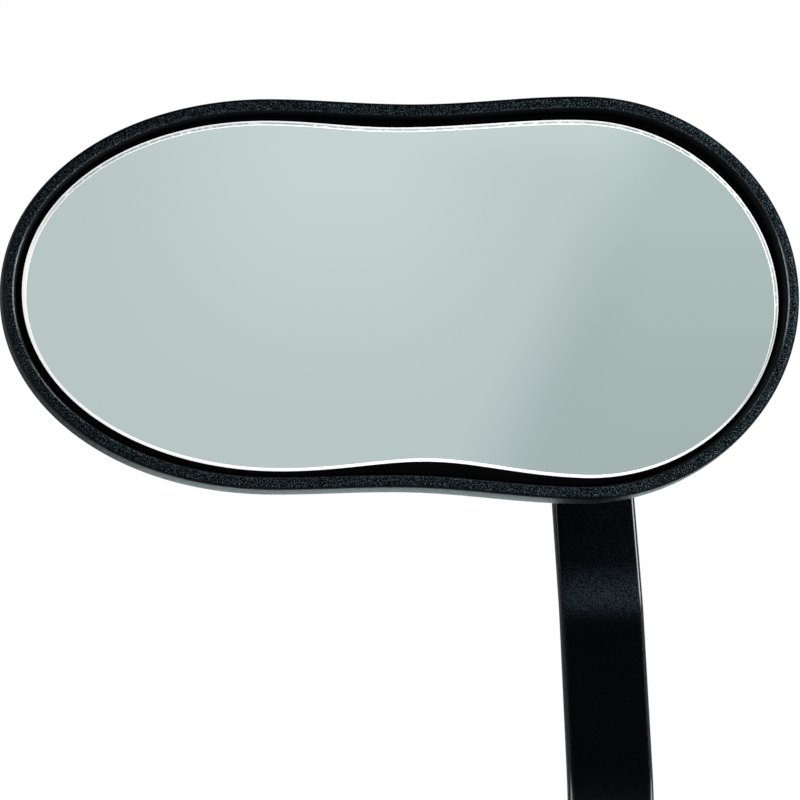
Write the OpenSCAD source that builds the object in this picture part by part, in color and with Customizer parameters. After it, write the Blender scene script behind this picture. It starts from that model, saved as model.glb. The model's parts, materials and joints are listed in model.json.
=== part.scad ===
// Handlebar mirror: a peanut-shaped head on a ball joint, a bent flat arm and a split bar clamp.
// The origin is the centre of the handlebar bore. X runs along the bar to the rider's right,
// Y points away from the rider and Z points up, so the glass faces -Y.

/* [Head outline] */
// Length of the left end, from the left crest to the tip
left_len = 50.9; // [44:0.1:60]
// Distance along the bar direction from the left crest to the waist
left_run = 23.9; // [19:0.1:28]
// Distance along the bar direction from the waist to the right crest
right_run = 35.2; // [29:0.1:40]
// Length of the right end, from the right crest to the tip
right_len = 40.6; // [37:0.1:48]
// Half height of the head at the left crest
left_half = 36.8; // [33:0.1:41]
// Half height of the head at the waist
waist_half = 36.2; // [32:0.1:40]
// Half height of the head at the right crest
right_half = 38.2; // [34:0.1:42]
// Fullness of the left end: 2 is an ellipse, more is squarer
left_power = 2.05; // [1.9:0.01:2.4]
// Fullness of the right end
right_power = 1.98; // [1.9:0.01:2.4]
// How far the right crest lies to the left of the ball's axis
crest_offset = 5.3; // [2:0.1:9]

/* [Housing] */
// Wall thickness of the housing's back
wall = 2.2; // [1.8:0.1:3]
// Width of the front lip
rim_w = 2.3; // [1.6:0.1:3.2]
// Rounding of the lip's two edges
rim_edge = 0.5; // [0.3:0.05:0.7]
// How far the side swells out behind the lip
bulge = 0.7; // [0.2:0.1:1.2]
// Depth at which the side turns into the domed back
side_depth = 10; // [8:0.5:14]
// Fullness of the domed back: 2 is round, more is flatter
dome_power = 2.2; // [2:0.1:3]
// Draft of the wall between the lip and the ledge
groove_draft = 0.4; // [0.2:0.1:0.8]
// Width of the ledge that the backing plate rests on
ledge_w = 1.5; // [1:0.1:2.5]
// Width of the flat land round the socket ring on the housing's back
land_margin = 1; // [0.5:0.1:3]

/* [Glass] */
// Radius of the convex glass
glass_r = 1400; // [1000:50:2000]
// Thickness of the glass
glass_t = 2.5; // [1.8:0.1:3.5]
// Depth of the glass's highest point behind the lip
glass_recess = 1.2; // [0.8:0.1:2]
// Gap between the groove's wall and the edge of the glass
glass_gap = 1.3; // [0.8:0.1:2]
// How much deeper the waist of the glass is than the waist of the lip
glass_dip = 0.5; // [0:0.1:0.8]
// How much further the glass reaches at its two ends
glass_reach = 0.5; // [0:0.1:0.8]
// Bevel ground on the front edge of the glass
glass_bevel = 0.8; // [0.4:0.1:1.2]
// Thickness of the foam pad
pad_t = 1; // [0.6:0.1:1.6]
// How far the pad stays inside the edge of the glass
pad_margin = 2; // [1:0.5:5]
// Least thickness of the backing plate, at its two tips
plate_min = 1.5; // [1:0.1:2.5]
// Gap round the edge of the backing plate
plate_gap = 0.15; // [0.1:0.05:0.3]

/* [Ball joint] */
// Radius of the ball
ball_r = 6.5; // [6:0.1:7.5]
// Radius of the neck behind the ball
neck_r = 3.2; // [2.8:0.1:3.6]
// Thickness of the ball liner
liner_t = 1.2; // [0.9:0.1:1.6]
// Running gap between the faces of the ball joint
ball_fit = 0.05; // [0.03:0.01:0.08]
// Half angle of the socket's mouth
mouth_angle = 50; // [47:1:54]
// Half angle of the liner's rear opening
liner_angle = 52; // [50:1:58]
// Wall of the socket ring beside the ball
socket_wall = 3.6; // [3.4:0.1:4.5]
// Height of the socket ring's flange on the housing's back
flange_h = 3.6; // [3:0.1:4.5]
// Width of the flange beyond the spigot
flange_w = 3.6; // [3:0.1:5]
// How far the flange's seat lies behind the ball's centre
seat_back = 2; // [1.5:0.1:2.5]
// Length of the spigot in front of the ball's centre
spigot_front = 3.5; // [3:0.1:4.5]
// Wall of the pressure cup in front of the ball
cup_floor = 1.9; // [1.4:0.1:2.6]
// How much wider the cup's bore is than the seat behind it
cup_step = 0.2; // [0.1:0.05:0.4]
// How far the cup's rim lies in front of the ball's centre
cup_rim = 2.6; // [2.2:0.1:3.2]
// Thickness of the disc spring's steel
spring_t = 0.8; // [0.5:0.1:1]
// Cone height of the disc spring
spring_cone = 0.8; // [0.5:0.1:1.2]
// Inner radius of the disc spring
spring_in = 3.6; // [3:0.1:4.5]
// Floor of the spring cap
cap_floor = 2; // [1.8:0.1:3]
// Gap between the spring cap and the backing plate
cap_gap = 0.4; // [0.3:0.1:1]
// Number of cap screws
cap_screw_count = 4; // [3:1:5]
// Radius of a cap screw's thread
cap_screw_r = 1; // [0.8:0.1:1.1]
// Radius of a cap screw's head
cap_screw_head_r = 1.9; // [1.6:0.1:2]
// Height of a cap screw's head
cap_screw_head_h = 1.4; // [1:0.1:1.5]
// Length of a cap screw under its head
cap_screw_len = 10; // [9:0.5:11]

/* [Stud] */
// Distance from the ball's centre to the front of the arm
stud_reach = 15; // [13:0.1:17]
// Thickness of the hexagon collar
collar_t = 3; // [2:0.1:4]
// Width across the flats of the hexagon collar
collar_af = 11; // [10:0.5:13]
// Radius of the stud's and the pivot bolt's thread
thread_r = 3; // [2.5:0.1:3.5]
// Running gap of a thread in the arm's eye
eye_fit = 0.05; // [0.03:0.01:0.08]
// Width across the flats of the cap nut and the lock nut
nut_af = 10; // [9:0.5:12]
// Height of the cap nut's hexagon
cap_nut_hex = 5; // [4:0.1:6]
// Height of the cap nut's straight crown below its dome
cap_nut_crown = 2; // [1:0.1:3]
// Thickness of the two friction discs
disc_t = 1; // [0.6:0.1:1.5]
// Radius of the two friction discs
disc_r = 7.6; // [6.8:0.1:8]
// Thickness of the two spring washers
spring_washer_t = 1.4; // [1:0.1:2]
// Radius of the two spring washers
spring_washer_r = 5.4; // [4.6:0.1:5.8]
// Width of the cut through each spring washer
split_w = 0.8; // [0.5:0.1:1.5]
// How far the round parts of the nuts lie inside their flats
nut_step = 0.25; // [0.1:0.05:0.5]

/* [Arm] */
// Width of the strap
strap_w = 16.2; // [16:0.1:20]
// Thickness of the strap
strap_t = 4; // [3:0.1:5]
// Rounding of the strap's long edges
strap_edge = 0.8; // [0.4:0.1:1.2]
// Bend radius at the middle of the strap
bend_r = 30; // [20:1:34]
// Height of the ball above the pivot
arm_h = 108; // [104:0.5:140]
// Height of the upright pad at the pivot
pad_run = 13; // [11:0.1:16]
// Height of the lower slope
lower_run = 36.5; // [32:0.5:44]
// Lean of the lower slope from upright
lower_slope = 22; // [18:0.5:26]
// Height of the upper slope
upper_run = 31.5; // [28:0.5:36]
// Lean of the upper slope from upright
upper_slope = 30; // [26:0.5:34]

/* [Clamp] */
// Diameter of the handlebar
bar_d = 22.2; // [21:0.1:24]
// Wall of the shim
shim_wall = 1.6; // [1:0.1:2.5]
// Seat gap between shim and clamp
shim_gap = 0.03; // [0.02:0.01:0.06]
// Wall of the clamp ring
ring_wall = 4.2; // [3:0.1:6]
// Width of the clamp along the bar
clamp_w = 18; // [16:0.5:24]
// Slit between the two ears
slit = 3; // [2:0.5:4]
// Thickness of each ear
ear_t = 7; // [6:0.5:9]
// Distance from the outside of the ring to the end of the ears
ear_len = 12; // [10:0.5:15]
// Rounding of the ears' corners
ear_round = 4; // [2:0.5:5]
// Thickness of the lug
lug_t = 7; // [6:0.5:9]
// Height of the pivot above the outside of the ring
pivot_rise = 13; // [11:0.5:18]
// Fillet between lug and ring
lug_fillet = 4; // [2:0.5:5]

/* [Clamp hardware] */
// Radius of the pinch screw's thread
pinch_r = 2.5; // [2:0.1:2.8]
// Radius of the pinch screw's head
pinch_head_r = 4.25; // [3.8:0.05:4.6]
// Height of the pinch screw's head
pinch_head_h = 5; // [4:0.1:6]
// Width across the flats of the pinch nut
pinch_nut_af = 8; // [7:0.5:9]
// Thickness of the pinch nut
pinch_nut_t = 4; // [3:0.1:4.5]
// Clearance of screws in plain holes and of nuts in pockets
screw_gap = 0.15; // [0.1:0.05:0.3]
// Radius of the pivot bolt's button head
bolt_head_r = 5.25; // [4.8:0.05:6]
// Height of the pivot bolt's button head
bolt_head_h = 3.3; // [2.5:0.1:4]
// Radius of the washer under the pivot bolt's head
washer_r = 6.2; // [5.8:0.1:7.5]
// Thickness of the washer under the pivot bolt's head
washer_t = 1.2; // [0.8:0.1:1.6]
// Height of the lock nut
lock_nut_h = 6; // [5:0.1:7]
// Height of the lock nut's round collar
lock_collar_h = 1.2; // [0.8:0.1:2]
// How far a thread stands out of its nut
thread_out = 1.5; // [0.5:0.1:3]
// Width across the flats of the hexagon sockets in the screws
key_af = 4; // [3:0.5:4.5]
// Depth of the hexagon sockets in the screws
key_depth = 2; // [1.5:0.1:2.5]

/* [Hidden] */
$fn = 96;

black = [0.09, 0.09, 0.09];
soft_black = [0.14, 0.14, 0.14];
nylon = [0.86, 0.85, 0.8];
steel = [0.66, 0.67, 0.69];
silver_green = [0.74, 0.8, 0.79];

// Overshoot of every cutting shape
over = 1;

// Points round the outline: along each end and along each side
end_points = 28;
side_points = 12;
// Rings of the swelling side and of the domed back, outside and inside
side_rings = 3;
dome_rings = 8;
inner_rings = 4;
// Steps of the convex face from its middle to its rim
convex_steps = 8;
// Steps of the strap's rounded edges, of its half-round ends and of the lug's fillets
edge_steps = 4;
end_steps = 6;
fillet_steps = 6;
// Turn at which a half-round end is cut flat, and the turn of one step of a bend
end_turn = 84;
bend_step = 4;
// How far a fillet reaches into the ring it stands on
seat_lap = 0.05;
// Turn of the spring washers' cuts and of the first cap screw
split_turn = 35;
screw_turn = 45;

// Clamp and pivot
bore_r = bar_d / 2;
ring_in = bore_r + shim_wall + shim_gap;
ring_out = ring_in + ring_wall;
pivot_z = ring_out + pivot_rise;
lug_r = clamp_w / 2;
ear_end = ring_out + ear_len;
pinch_z = -(ring_out + ear_len / 2);
ear_face = slit / 2 + ear_t;

// Arm, followed upwards from the pivot: the middle of the strap at each corner of its side view
arm_y = lug_t / 2 + disc_t + strap_t / 2;
corners = [
    [arm_y, pivot_z],
    [arm_y, pivot_z + pad_run],
    [arm_y + lower_run * tan(lower_slope), pivot_z + pad_run + lower_run],
    [
        arm_y + lower_run * tan(lower_slope) + upper_run * tan(upper_slope),
        pivot_z + pad_run + lower_run + upper_run
    ],
    [arm_y + lower_run * tan(lower_slope) + upper_run * tan(upper_slope), pivot_z + arm_h]
];
leans = [0, lower_slope, upper_slope, 0];
top_y = corners[4][0];

// Ball joint, in distances behind the ball's centre
ball_z = pivot_z + arm_h;
ball_y = top_y - strap_t / 2 - stud_reach;
liner_in = ball_r + ball_fit;
liner_out = liner_in + liner_t;
socket_r = liner_out + ball_fit;
cup_bore_r = socket_r + cup_step;
spigot_r = socket_r + socket_wall;
flange_r = spigot_r + flange_w;
cap_screw_ring = socket_r + socket_wall / 2;
cup_front = -(liner_in + cup_floor);
spring_floor = cup_front - spring_t - spring_cone;
cap_front = spring_floor - cap_floor;
spring_pilot = spring_in - screw_gap;
cap_screw_seat = cap_front + cap_screw_head_h + screw_gap;
collar_back = stud_reach - disc_t;
arm_back = stud_reach + strap_t;
nut_seat = arm_back + spring_washer_t;
dome_r = nut_af / 2 - nut_step;
nut_depth = cap_nut_hex + cap_nut_crown;
tip_room = thread_r / 4;

// Head outline, measured from the ball's axis
crest_r = -crest_offset;
waist_x = crest_r - right_run;
crest_l = waist_x - left_run;
tip_l = crest_l - left_len;
tip_r = crest_r + right_len;
glass_x = (tip_l + tip_r) / 2;

// Insets from the outline of the lip
groove_in = rim_w + groove_draft;
plate_in = groove_in + plate_gap;
glass_in = groove_in + glass_gap;
pad_in = glass_in + pad_margin;
ledge_in = groove_in + ledge_w;

// Depths behind the front of the lip
plate_half = (tip_r - tip_l) / 2 - plate_in;
plate_sag = sag(plate_half);
pad_front = glass_recess + glass_t;
plate_front = pad_front + pad_t;
ledge_depth = plate_front + plate_sag + plate_min;
ball_depth = ledge_depth + cap_gap - cap_front;
head_depth = ball_depth + seat_back;
back_depth = head_depth - wall;
rim_y = ball_y - ball_depth;
land_r = flange_r + land_margin;
hole_r = spigot_r + plate_gap;

// A point of a superellipse with half axes a and b
function full_arc(a, b, power, t) = [
    a * sign(cos(t)) * pow(abs(cos(t)), 2 / power),
    b * sign(sin(t)) * pow(abs(sin(t)), 2 / power)
];

// Half height between the crests: half a cosine wave from each crest down to the waist
function side_height(x, left, waist, right) =
    x < waist_x
    ? waist + (left - waist) * (1 + cos(180 * (x - crest_l) / left_run)) / 2
    : waist + (right - waist) * (1 - cos(180 * (x - waist_x) / right_run)) / 2;

// Outline of the head, drawn in by inset, with the waist drawn in further by dip
// and both tips let out again by reach
function outline(inset, dip = 0, reach = 0) =
    let (
        left = left_half - inset,
        waist = waist_half - inset - dip,
        right = right_half - inset,
        run = crest_r - crest_l
    )
    concat(
        [
            for (i = [0:end_points - 1])
                let (p = full_arc(right_len - inset + reach, right, right_power, -90 + 180 * i / end_points))
                [crest_r + p[0], p[1]]
        ],
        [
            for (i = [0:side_points - 1])
                let (x = crest_r - run * i / side_points)
                [x, side_height(x, left, waist, right)]
        ],
        [
            for (i = [0:end_points - 1])
                let (p = full_arc(left_len - inset + reach, left, left_power, 90 + 180 * i / end_points))
                [crest_l + p[0], p[1]]
        ],
        [
            for (i = [0:side_points - 1])
                let (x = crest_l + run * i / side_points)
                [x, -side_height(x, left, waist, right)]
        ]
    );

// Ring of points at one depth behind the lip
function ring_at(points, depth) = [for (p = points) [p[0], rim_y + depth, ball_z + p[1]]];

// Circle with its points on the same rays as those of an outline
function circle_like(points, r) = [for (p = points) p * r / norm(p)];

// Ring of the dome: the outline closes onto the round land as turn goes from 0 to 90 degrees
function dome_ring(points, turn, start, end) =
    let (
        close = 1 - cos(turn),
        rise = pow(1 - pow(1 - close, dome_power), 1 / dome_power),
        goal = circle_like(points, land_r)
    )
    ring_at([for (i = [0:len(points) - 1]) points[i] * (1 - close) + goal[i] * close],
        start + (end - start) * rise);

// Depth that the convex face has lost at a distance from its middle
function sag(r) = glass_r - sqrt(glass_r * glass_r - r * r);

// Depth of the convex face at a point, with its highest point at depth top
function convex_depth(p, top) = top + sag(norm(p - [glass_x, 0]));

// Triangles between neighbouring rings of a loft
function band(a, b, count) = [
    for (i = [0:count - 1])
        let (j = (i + 1) % count)
        each [
            [a * count + i, a * count + j, b * count + j],
            [a * count + i, b * count + j, b * count + i]
        ]
];

// Solid that closes on itself through a row of rings
module ring_loft(rings) {
    count = len(rings[0]);
    n = len(rings);
    polyhedron(
        points = [for (ring = rings) each ring],
        faces = [for (k = [0:n - 1]) each band(k, (k + 1) % n, count)]
    );
}

// Solid through a row of rings with a flat face at each end
module solid_loft(rings) {
    count = len(rings[0]);
    n = len(rings);
    polyhedron(
        points = [for (ring = rings) each ring],
        faces = concat(
            [[for (i = [count - 1:-1:0]) i]],
            [for (k = [0:n - 2]) each band(k, k + 1, count)],
            [[for (i = [0:count - 1]) (n - 1) * count + i]]
        )
    );
}

// Blank whose convex front has its highest point at depth top
module convex_blank(top) {
    reach = (tip_r - tip_l) / 2 + over;
    back = ledge_depth + plate_sag + over;
    translate([glass_x, rim_y, ball_z])
        rotate([-90, 0, 0])
            rotate_extrude()
                polygon(concat(
                    [
                        for (k = [0:convex_steps])
                            let (r = reach * k / convex_steps)
                            [r, top + sag(r)]
                    ],
                    [[reach, back], [0, back]]
                ));
}

// Places children with Z along the ball's axis, pointing away from the glass
module on_ball() {
    translate([0, ball_y, ball_z])
        rotate([-90, 0, 0])
            children();
}

// Places children with Z along the pivot bolt, pointing away from the rider
module on_pivot() {
    translate([0, 0, pivot_z])
        rotate([-90, 0, 0])
            children();
}

// Places children with Z along the pinch screw, pointing away from the rider
module on_pinch() {
    translate([0, 0, pinch_z])
        rotate([-90, 0, 0])
            children();
}

// Tube between two heights
module tube(r_out, r_in, low, high) {
    difference() {
        translate([0, 0, low])
            cylinder(r = r_out, h = high - low);
        translate([0, 0, low - over])
            cylinder(r = r_in, h = high - low + 2 * over);
    }
}

// Hexagon prism between two heights, sized across its flats
module hexagon(af, low, high) {
    translate([0, 0, low])
        cylinder(r = af / 2 / cos(30), h = high - low, $fn = 6);
}

// Spring washer: a ring cut through at one place
module split_washer(low) {
    difference() {
        tube(spring_washer_r, thread_r + screw_gap, low, low + spring_washer_t);
        rotate([0, 0, split_turn])
            translate([thread_r / 2, -split_w / 2, low - over])
                cube([spring_washer_r, split_w, spring_washer_t + 2 * over]);
    }
}

// Places children at each cap screw
module at_cap_screws() {
    for (i = [0:cap_screw_count - 1])
        rotate([0, 0, screw_turn + 360 * i / cap_screw_count])
            translate([cap_screw_ring, 0, 0])
                children();
}

// Length that bend i takes off each neighbouring straight of the strap
function bend_take(i) = bend_r * tan(abs(leans[i] - leans[i - 1]) / 2);

// Stations along bend i of the strap, each with its place, its lean and the strap's half width
function bend_stations(i) =
    let (
        lean = leans[i - 1],
        turn = leans[i] - lean,
        side = sign(turn),
        begin = corners[i] - bend_take(i) * [sin(lean), cos(lean)],
        centre = begin + side * bend_r * [cos(lean), -sin(lean)],
        steps = ceil(abs(turn) / bend_step)
    )
    [
        for (k = [0:steps])
            let (a = lean + turn * k / steps)
            [centre - side * bend_r * [cos(a), -sin(a)], a, strap_w / 2]
    ];

// Stations of a half-round end of the strap, from its tip to the eye's centre or the other way
function end_stations(corner, way) = [
    for (k = [0:end_steps])
        let (turn = end_turn * (way > 0 ? k : end_steps - k) / end_steps)
        [corner + [0, way * strap_w / 2 * sin(turn)], 0, strap_w / 2 * cos(turn)]
];

// Cross-section of the strap at a station: a rectangle with rounded corners
function strap_ring(station) =
    let (
        place = station[0],
        lean = station[1],
        half = station[2],
        r = min(strap_edge, half)
    )
    [
        for (c = [0:3])
            for (i = [0:edge_steps])
                let (
                    turn = 90 * c + 90 * i / edge_steps,
                    sx = c == 0 || c == 3 ? 1 : -1,
                    sy = c < 2 ? 1 : -1,
                    across = sx * (half - r) + r * cos(turn),
                    through = sy * (strap_t / 2 - r) + r * sin(turn)
                )
                [across, place[0] + through * cos(lean), place[1] - through * sin(lean)]
    ];

// Hole along Y through an eye of the strap
module eye_hole(corner) {
    translate([0, corner[0], corner[1]])
        rotate([-90, 0, 0])
            cylinder(r = thread_r + eye_fit, h = strap_t + 2 * over, center = true);
}

// Side view of the lug: its sides run down into a fillet each, which reaches a little way into the ring
module lug_profile() {
    centre = [
        lug_t / 2 + lug_fillet,
        sqrt(pow(ring_out + lug_fillet, 2) - pow(lug_t / 2 + lug_fillet, 2))
    ];
    foot = atan2(centre[1], centre[0]);
    flank = concat(
        [[lug_t / 2, pivot_z + lug_r]],
        [
            for (k = [0:fillet_steps])
                let (turn = 180 + foot * k / fillet_steps)
                centre + lug_fillet * [cos(turn), sin(turn)]
        ],
        [centre - (lug_fillet + seat_lap) * [cos(foot), sin(foot)]]
    );
    polygon(concat(
        flank,
        [for (i = [len(flank) - 1:-1:0]) [-flank[i][0], flank[i][1]]]
    ));
}

// Extrudes a side view of the clamp along the bar
module along_bar(width) {
    rotate([90, 0, 90])
        linear_extrude(width, center = true)
            children();
}

// Front view of the clamp: round at the top of the lug, rounded at the ends of the ears
module clamp_front() {
    circle(r = lug_r);
    translate([-clamp_w / 2, -pivot_z - ear_end + ear_round])
        square([clamp_w, pivot_z + ear_end - ear_round]);
    translate([-clamp_w / 2 + ear_round, -pivot_z - ear_end])
        square([clamp_w - 2 * ear_round, 2 * ear_round]);
    for (side = [-1, 1])
        translate([side * (clamp_w / 2 - ear_round), -pivot_z - ear_end + ear_round])
            circle(r = ear_round);
}

module bar_clamp() {
    color(black)
        difference() {
            intersection() {
                union() {
                    along_bar(clamp_w)
                        circle(r = ring_out);
                    along_bar(clamp_w)
                        lug_profile();
                    along_bar(clamp_w)
                        translate([-ear_face, -ear_end])
                            square([2 * ear_face, ear_end]);
                }
                translate([0, 0, pivot_z])
                    rotate([90, 0, 0])
                        linear_extrude(2 * ear_end + 2 * pivot_z, center = true)
                            clamp_front();
            }
            along_bar(clamp_w + 2 * over)
                circle(r = ring_in);
            along_bar(clamp_w + 2 * over)
                translate([-slit / 2, -ear_end - over])
                    square([slit, ear_end + over]);
            on_pivot()
                cylinder(r = thread_r + screw_gap, h = lug_t + 2 * over, center = true);
            on_pinch()
                cylinder(r = pinch_r + screw_gap, h = 2 * ear_face + 2 * over, center = true);
            on_pinch()
                hexagon(pinch_nut_af + 2 * screw_gap, ear_face - pinch_nut_t, ear_face + over);
        }
}

module bar_shim() {
    color(soft_black)
        rotate([0, 90, 0])
            difference() {
                tube(bore_r + shim_wall, bore_r, -clamp_w / 2, clamp_w / 2);
                translate([0, -slit / 2, -clamp_w / 2 - over])
                    cube([bore_r + shim_wall + over, slit, clamp_w + 2 * over]);
            }
}

module pinch_screw() {
    color(steel)
        on_pinch()
            difference() {
                union() {
                    translate([0, 0, -ear_face - pinch_head_h])
                        cylinder(r = pinch_head_r, h = pinch_head_h);
                    translate([0, 0, -ear_face])
                        cylinder(r = pinch_r, h = 2 * ear_face);
                }
                hexagon(key_af, -ear_face - pinch_head_h - over, -ear_face - pinch_head_h + key_depth);
            }
}

module pinch_nut() {
    color(steel)
        on_pinch()
            difference() {
                hexagon(pinch_nut_af, ear_face - pinch_nut_t, ear_face);
                cylinder(r = pinch_r + eye_fit, h = ear_face + over);
            }
}

// Button head: a disc whose top is cut to a dome
module button_head(seat) {
    crown_r = (bolt_head_r * bolt_head_r + bolt_head_h * bolt_head_h) / (2 * bolt_head_h);
    intersection() {
        translate([0, 0, seat - bolt_head_h])
            cylinder(r = bolt_head_r, h = bolt_head_h);
        translate([0, 0, seat - bolt_head_h + crown_r])
            sphere(r = crown_r);
    }
}

module pivot_bolt() {
    seat = -lug_t / 2 - washer_t;
    end = arm_y + strap_t / 2 + spring_washer_t + lock_nut_h + thread_out;
    color(steel)
        on_pivot()
            difference() {
                union() {
                    button_head(seat);
                    translate([0, 0, seat])
                        cylinder(r = thread_r, h = end - seat);
                }
                hexagon(key_af, seat - bolt_head_h - over, seat - bolt_head_h + key_depth);
            }
}

module pivot_washer() {
    color(steel)
        on_pivot()
            tube(washer_r, thread_r + screw_gap, -lug_t / 2 - washer_t, -lug_t / 2);
}

module pivot_friction_disc() {
    color(nylon)
        on_pivot()
            tube(disc_r, thread_r + screw_gap, lug_t / 2, lug_t / 2 + disc_t);
}

module pivot_spring_washer() {
    color(steel)
        on_pivot()
            split_washer(arm_y + strap_t / 2);
}

module pivot_nut() {
    seat = arm_y + strap_t / 2 + spring_washer_t;
    color(steel)
        on_pivot()
            difference() {
                union() {
                    hexagon(nut_af, seat, seat + lock_nut_h - lock_collar_h);
                    translate([0, 0, seat + lock_nut_h - lock_collar_h])
                        cylinder(r = dome_r, h = lock_collar_h);
                }
                translate([0, 0, seat - over])
                    cylinder(r = thread_r + eye_fit, h = lock_nut_h + 2 * over);
            }
}

module arm() {
    stations = concat(
        end_stations(corners[0], -1),
        [for (i = [1:3]) each bend_stations(i)],
        end_stations(corners[4], 1)
    );
    color(black)
        difference() {
            solid_loft([for (station = stations) strap_ring(station)]);
            eye_hole(corners[0]);
            eye_hole(corners[4]);
        }
}

module ball_stud() {
    shank_end = nut_seat + nut_depth;
    color(steel)
        on_ball()
            union() {
                sphere(r = ball_r);
                cylinder(r = neck_r, h = collar_back);
                hexagon(collar_af, collar_back - collar_t, collar_back);
                translate([0, 0, collar_back - over])
                    cylinder(r = thread_r, h = shank_end - collar_back + over);
            }
}

module stud_friction_disc() {
    color(nylon)
        on_ball()
            tube(disc_r, thread_r + screw_gap, collar_back, stud_reach);
}

module stud_spring_washer() {
    color(steel)
        on_ball()
            split_washer(arm_back);
}

module stud_cap_nut() {
    color(steel)
        on_ball()
            difference() {
                union() {
                    hexagon(nut_af, nut_seat, nut_seat + cap_nut_hex);
                    translate([0, 0, nut_seat + cap_nut_hex - over])
                        cylinder(r = dome_r, h = cap_nut_crown + over);
                    translate([0, 0, nut_seat + nut_depth])
                        sphere(r = dome_r);
                }
                translate([0, 0, nut_seat - over])
                    cylinder(r = thread_r + eye_fit, h = nut_depth + over + tip_room);
            }
}

module ball_liner() {
    rear = liner_in * cos(liner_angle);
    front = liner_t / 4;
    color(nylon)
        on_ball()
            difference() {
                intersection() {
                    sphere(r = liner_out);
                    translate([0, 0, front])
                        cylinder(r = liner_out + over, h = rear - front);
                }
                sphere(r = liner_in);
            }
}

// Housing rings, from the hole in the back over the outside, round the lip and back inside
function housing_rings() =
    let (
        outer = outline(-bulge),
        inner = outline(ledge_in),
        chamfer = rim_edge * (1 - cos(45))
    )
    concat(
        [ring_at(circle_like(outer, hole_r), head_depth)],
        [
            for (k = [dome_rings:-1:0])
                dome_ring(outer, 90 * k / dome_rings, side_depth, head_depth)
        ],
        [
            for (k = [side_rings - 1:-1:0])
                let (t = k / side_rings)
                ring_at(outline(-bulge * sin(90 * t)), rim_edge + (side_depth - rim_edge) * t)
        ],
        [
            ring_at(outline(chamfer), chamfer),
            ring_at(outline(rim_edge), 0),
            ring_at(outline(rim_w - rim_edge), 0),
            ring_at(outline(rim_w - chamfer), chamfer),
            ring_at(outline(rim_w), rim_edge),
            ring_at(outline(groove_in), ledge_depth),
            ring_at(inner, ledge_depth)
        ],
        [
            for (k = [0:inner_rings])
                dome_ring(inner, 90 * k / inner_rings, side_depth, back_depth)
        ],
        [ring_at(circle_like(inner, hole_r), back_depth)]
    );

module housing() {
    color(black)
        ring_loft(housing_rings());
}

module socket_ring() {
    rear = seat_back + flange_h;
    slope = flange_h / 2;
    color(soft_black)
        on_ball()
            difference() {
                rotate_extrude()
                    polygon([
                        [0, -spigot_front],
                        [spigot_r, -spigot_front],
                        [spigot_r, seat_back],
                        [flange_r, seat_back],
                        [flange_r, rear - slope],
                        [flange_r - slope, rear],
                        [0, rear]
                    ]);
                sphere(r = socket_r);
                translate([0, 0, -spigot_front - over])
                    cylinder(r = cup_bore_r, h = spigot_front + over);
                cylinder(r1 = 0, r2 = (rear + over) * tan(mouth_angle), h = rear + over);
                at_cap_screws()
                    translate([0, 0, -spigot_front - over])
                        cylinder(r = cap_screw_r + eye_fit,
                            h = cap_screw_seat + cap_screw_len + screw_gap + spigot_front + over);
            }
}

module pressure_cup() {
    color(nylon)
        on_ball()
            difference() {
                union() {
                    translate([0, 0, cup_front])
                        cylinder(r = socket_r - screw_gap, h = -cup_rim - cup_front);
                    translate([0, 0, cup_front - spring_t])
                        cylinder(r = spring_pilot, h = spring_t + over);
                }
                sphere(r = liner_in);
            }
}

module disc_spring() {
    spring_out = socket_r - 2 * screw_gap;
    color(steel)
        on_ball()
            rotate_extrude()
                polygon([
                    [spring_in, cup_front],
                    [spring_in, cup_front - spring_t],
                    [spring_out, spring_floor],
                    [spring_out, spring_floor + spring_t]
                ]);
}

module spring_cap() {
    skirt_back = seat_back - wall;
    color(soft_black)
        on_ball()
            difference() {
                rotate_extrude()
                    polygon([
                        [0, cap_front],
                        [spigot_r + cap_floor / 2, cap_front],
                        [flange_r, -spigot_front],
                        [flange_r, skirt_back],
                        [hole_r, skirt_back],
                        [hole_r, -spigot_front],
                        [0, -spigot_front]
                    ]);
                translate([0, 0, spring_floor])
                    cylinder(r = cup_bore_r, h = -spring_floor);
                at_cap_screws() {
                    translate([0, 0, cap_front - over])
                        cylinder(r = cap_screw_r + screw_gap, h = -cap_front);
                    translate([0, 0, cap_front - over])
                        cylinder(r = cap_screw_head_r + screw_gap, h = cap_screw_seat - cap_front + over);
                }
            }
}

module cap_screws() {
    color(steel)
        on_ball()
            at_cap_screws() {
                translate([0, 0, cap_screw_seat])
                    cylinder(r = cap_screw_r, h = cap_screw_len);
                translate([0, 0, cap_screw_seat - cap_screw_head_h])
                    cylinder(r = cap_screw_head_r, h = cap_screw_head_h);
            }
}

module backing_plate() {
    color(soft_black)
        intersection() {
            solid_loft([
                ring_at(outline(plate_in), ledge_depth),
                ring_at(outline(plate_in), 0)
            ]);
            convex_blank(plate_front);
        }
}

module glass_pad() {
    color(soft_black)
        difference() {
            intersection() {
                solid_loft([
                    ring_at(outline(pad_in, glass_dip), ledge_depth + plate_sag),
                    ring_at(outline(pad_in, glass_dip), 0)
                ]);
                convex_blank(pad_front);
            }
            convex_blank(plate_front);
        }
}

module mirror_glass() {
    edge = outline(glass_in, glass_dip, glass_reach);
    inner = outline(glass_in + glass_bevel, glass_dip, glass_reach);
    depths = [for (p = edge) convex_depth(p, glass_recess + glass_bevel)];
    shoulder = [for (i = [0:len(edge) - 1]) [edge[i][0], rim_y + depths[i], ball_z + edge[i][1]]];
    slant = ring_at(
        [for (i = [0:len(edge) - 1]) edge[i] + (inner[i] - edge[i]) * depths[i] / glass_bevel],
        0
    );
    color(silver_green)
        difference() {
            intersection() {
                solid_loft([ring_at(edge, ledge_depth + plate_sag), shoulder, slant]);
                convex_blank(glass_recess);
            }
            convex_blank(pad_front);
        }
}

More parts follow.
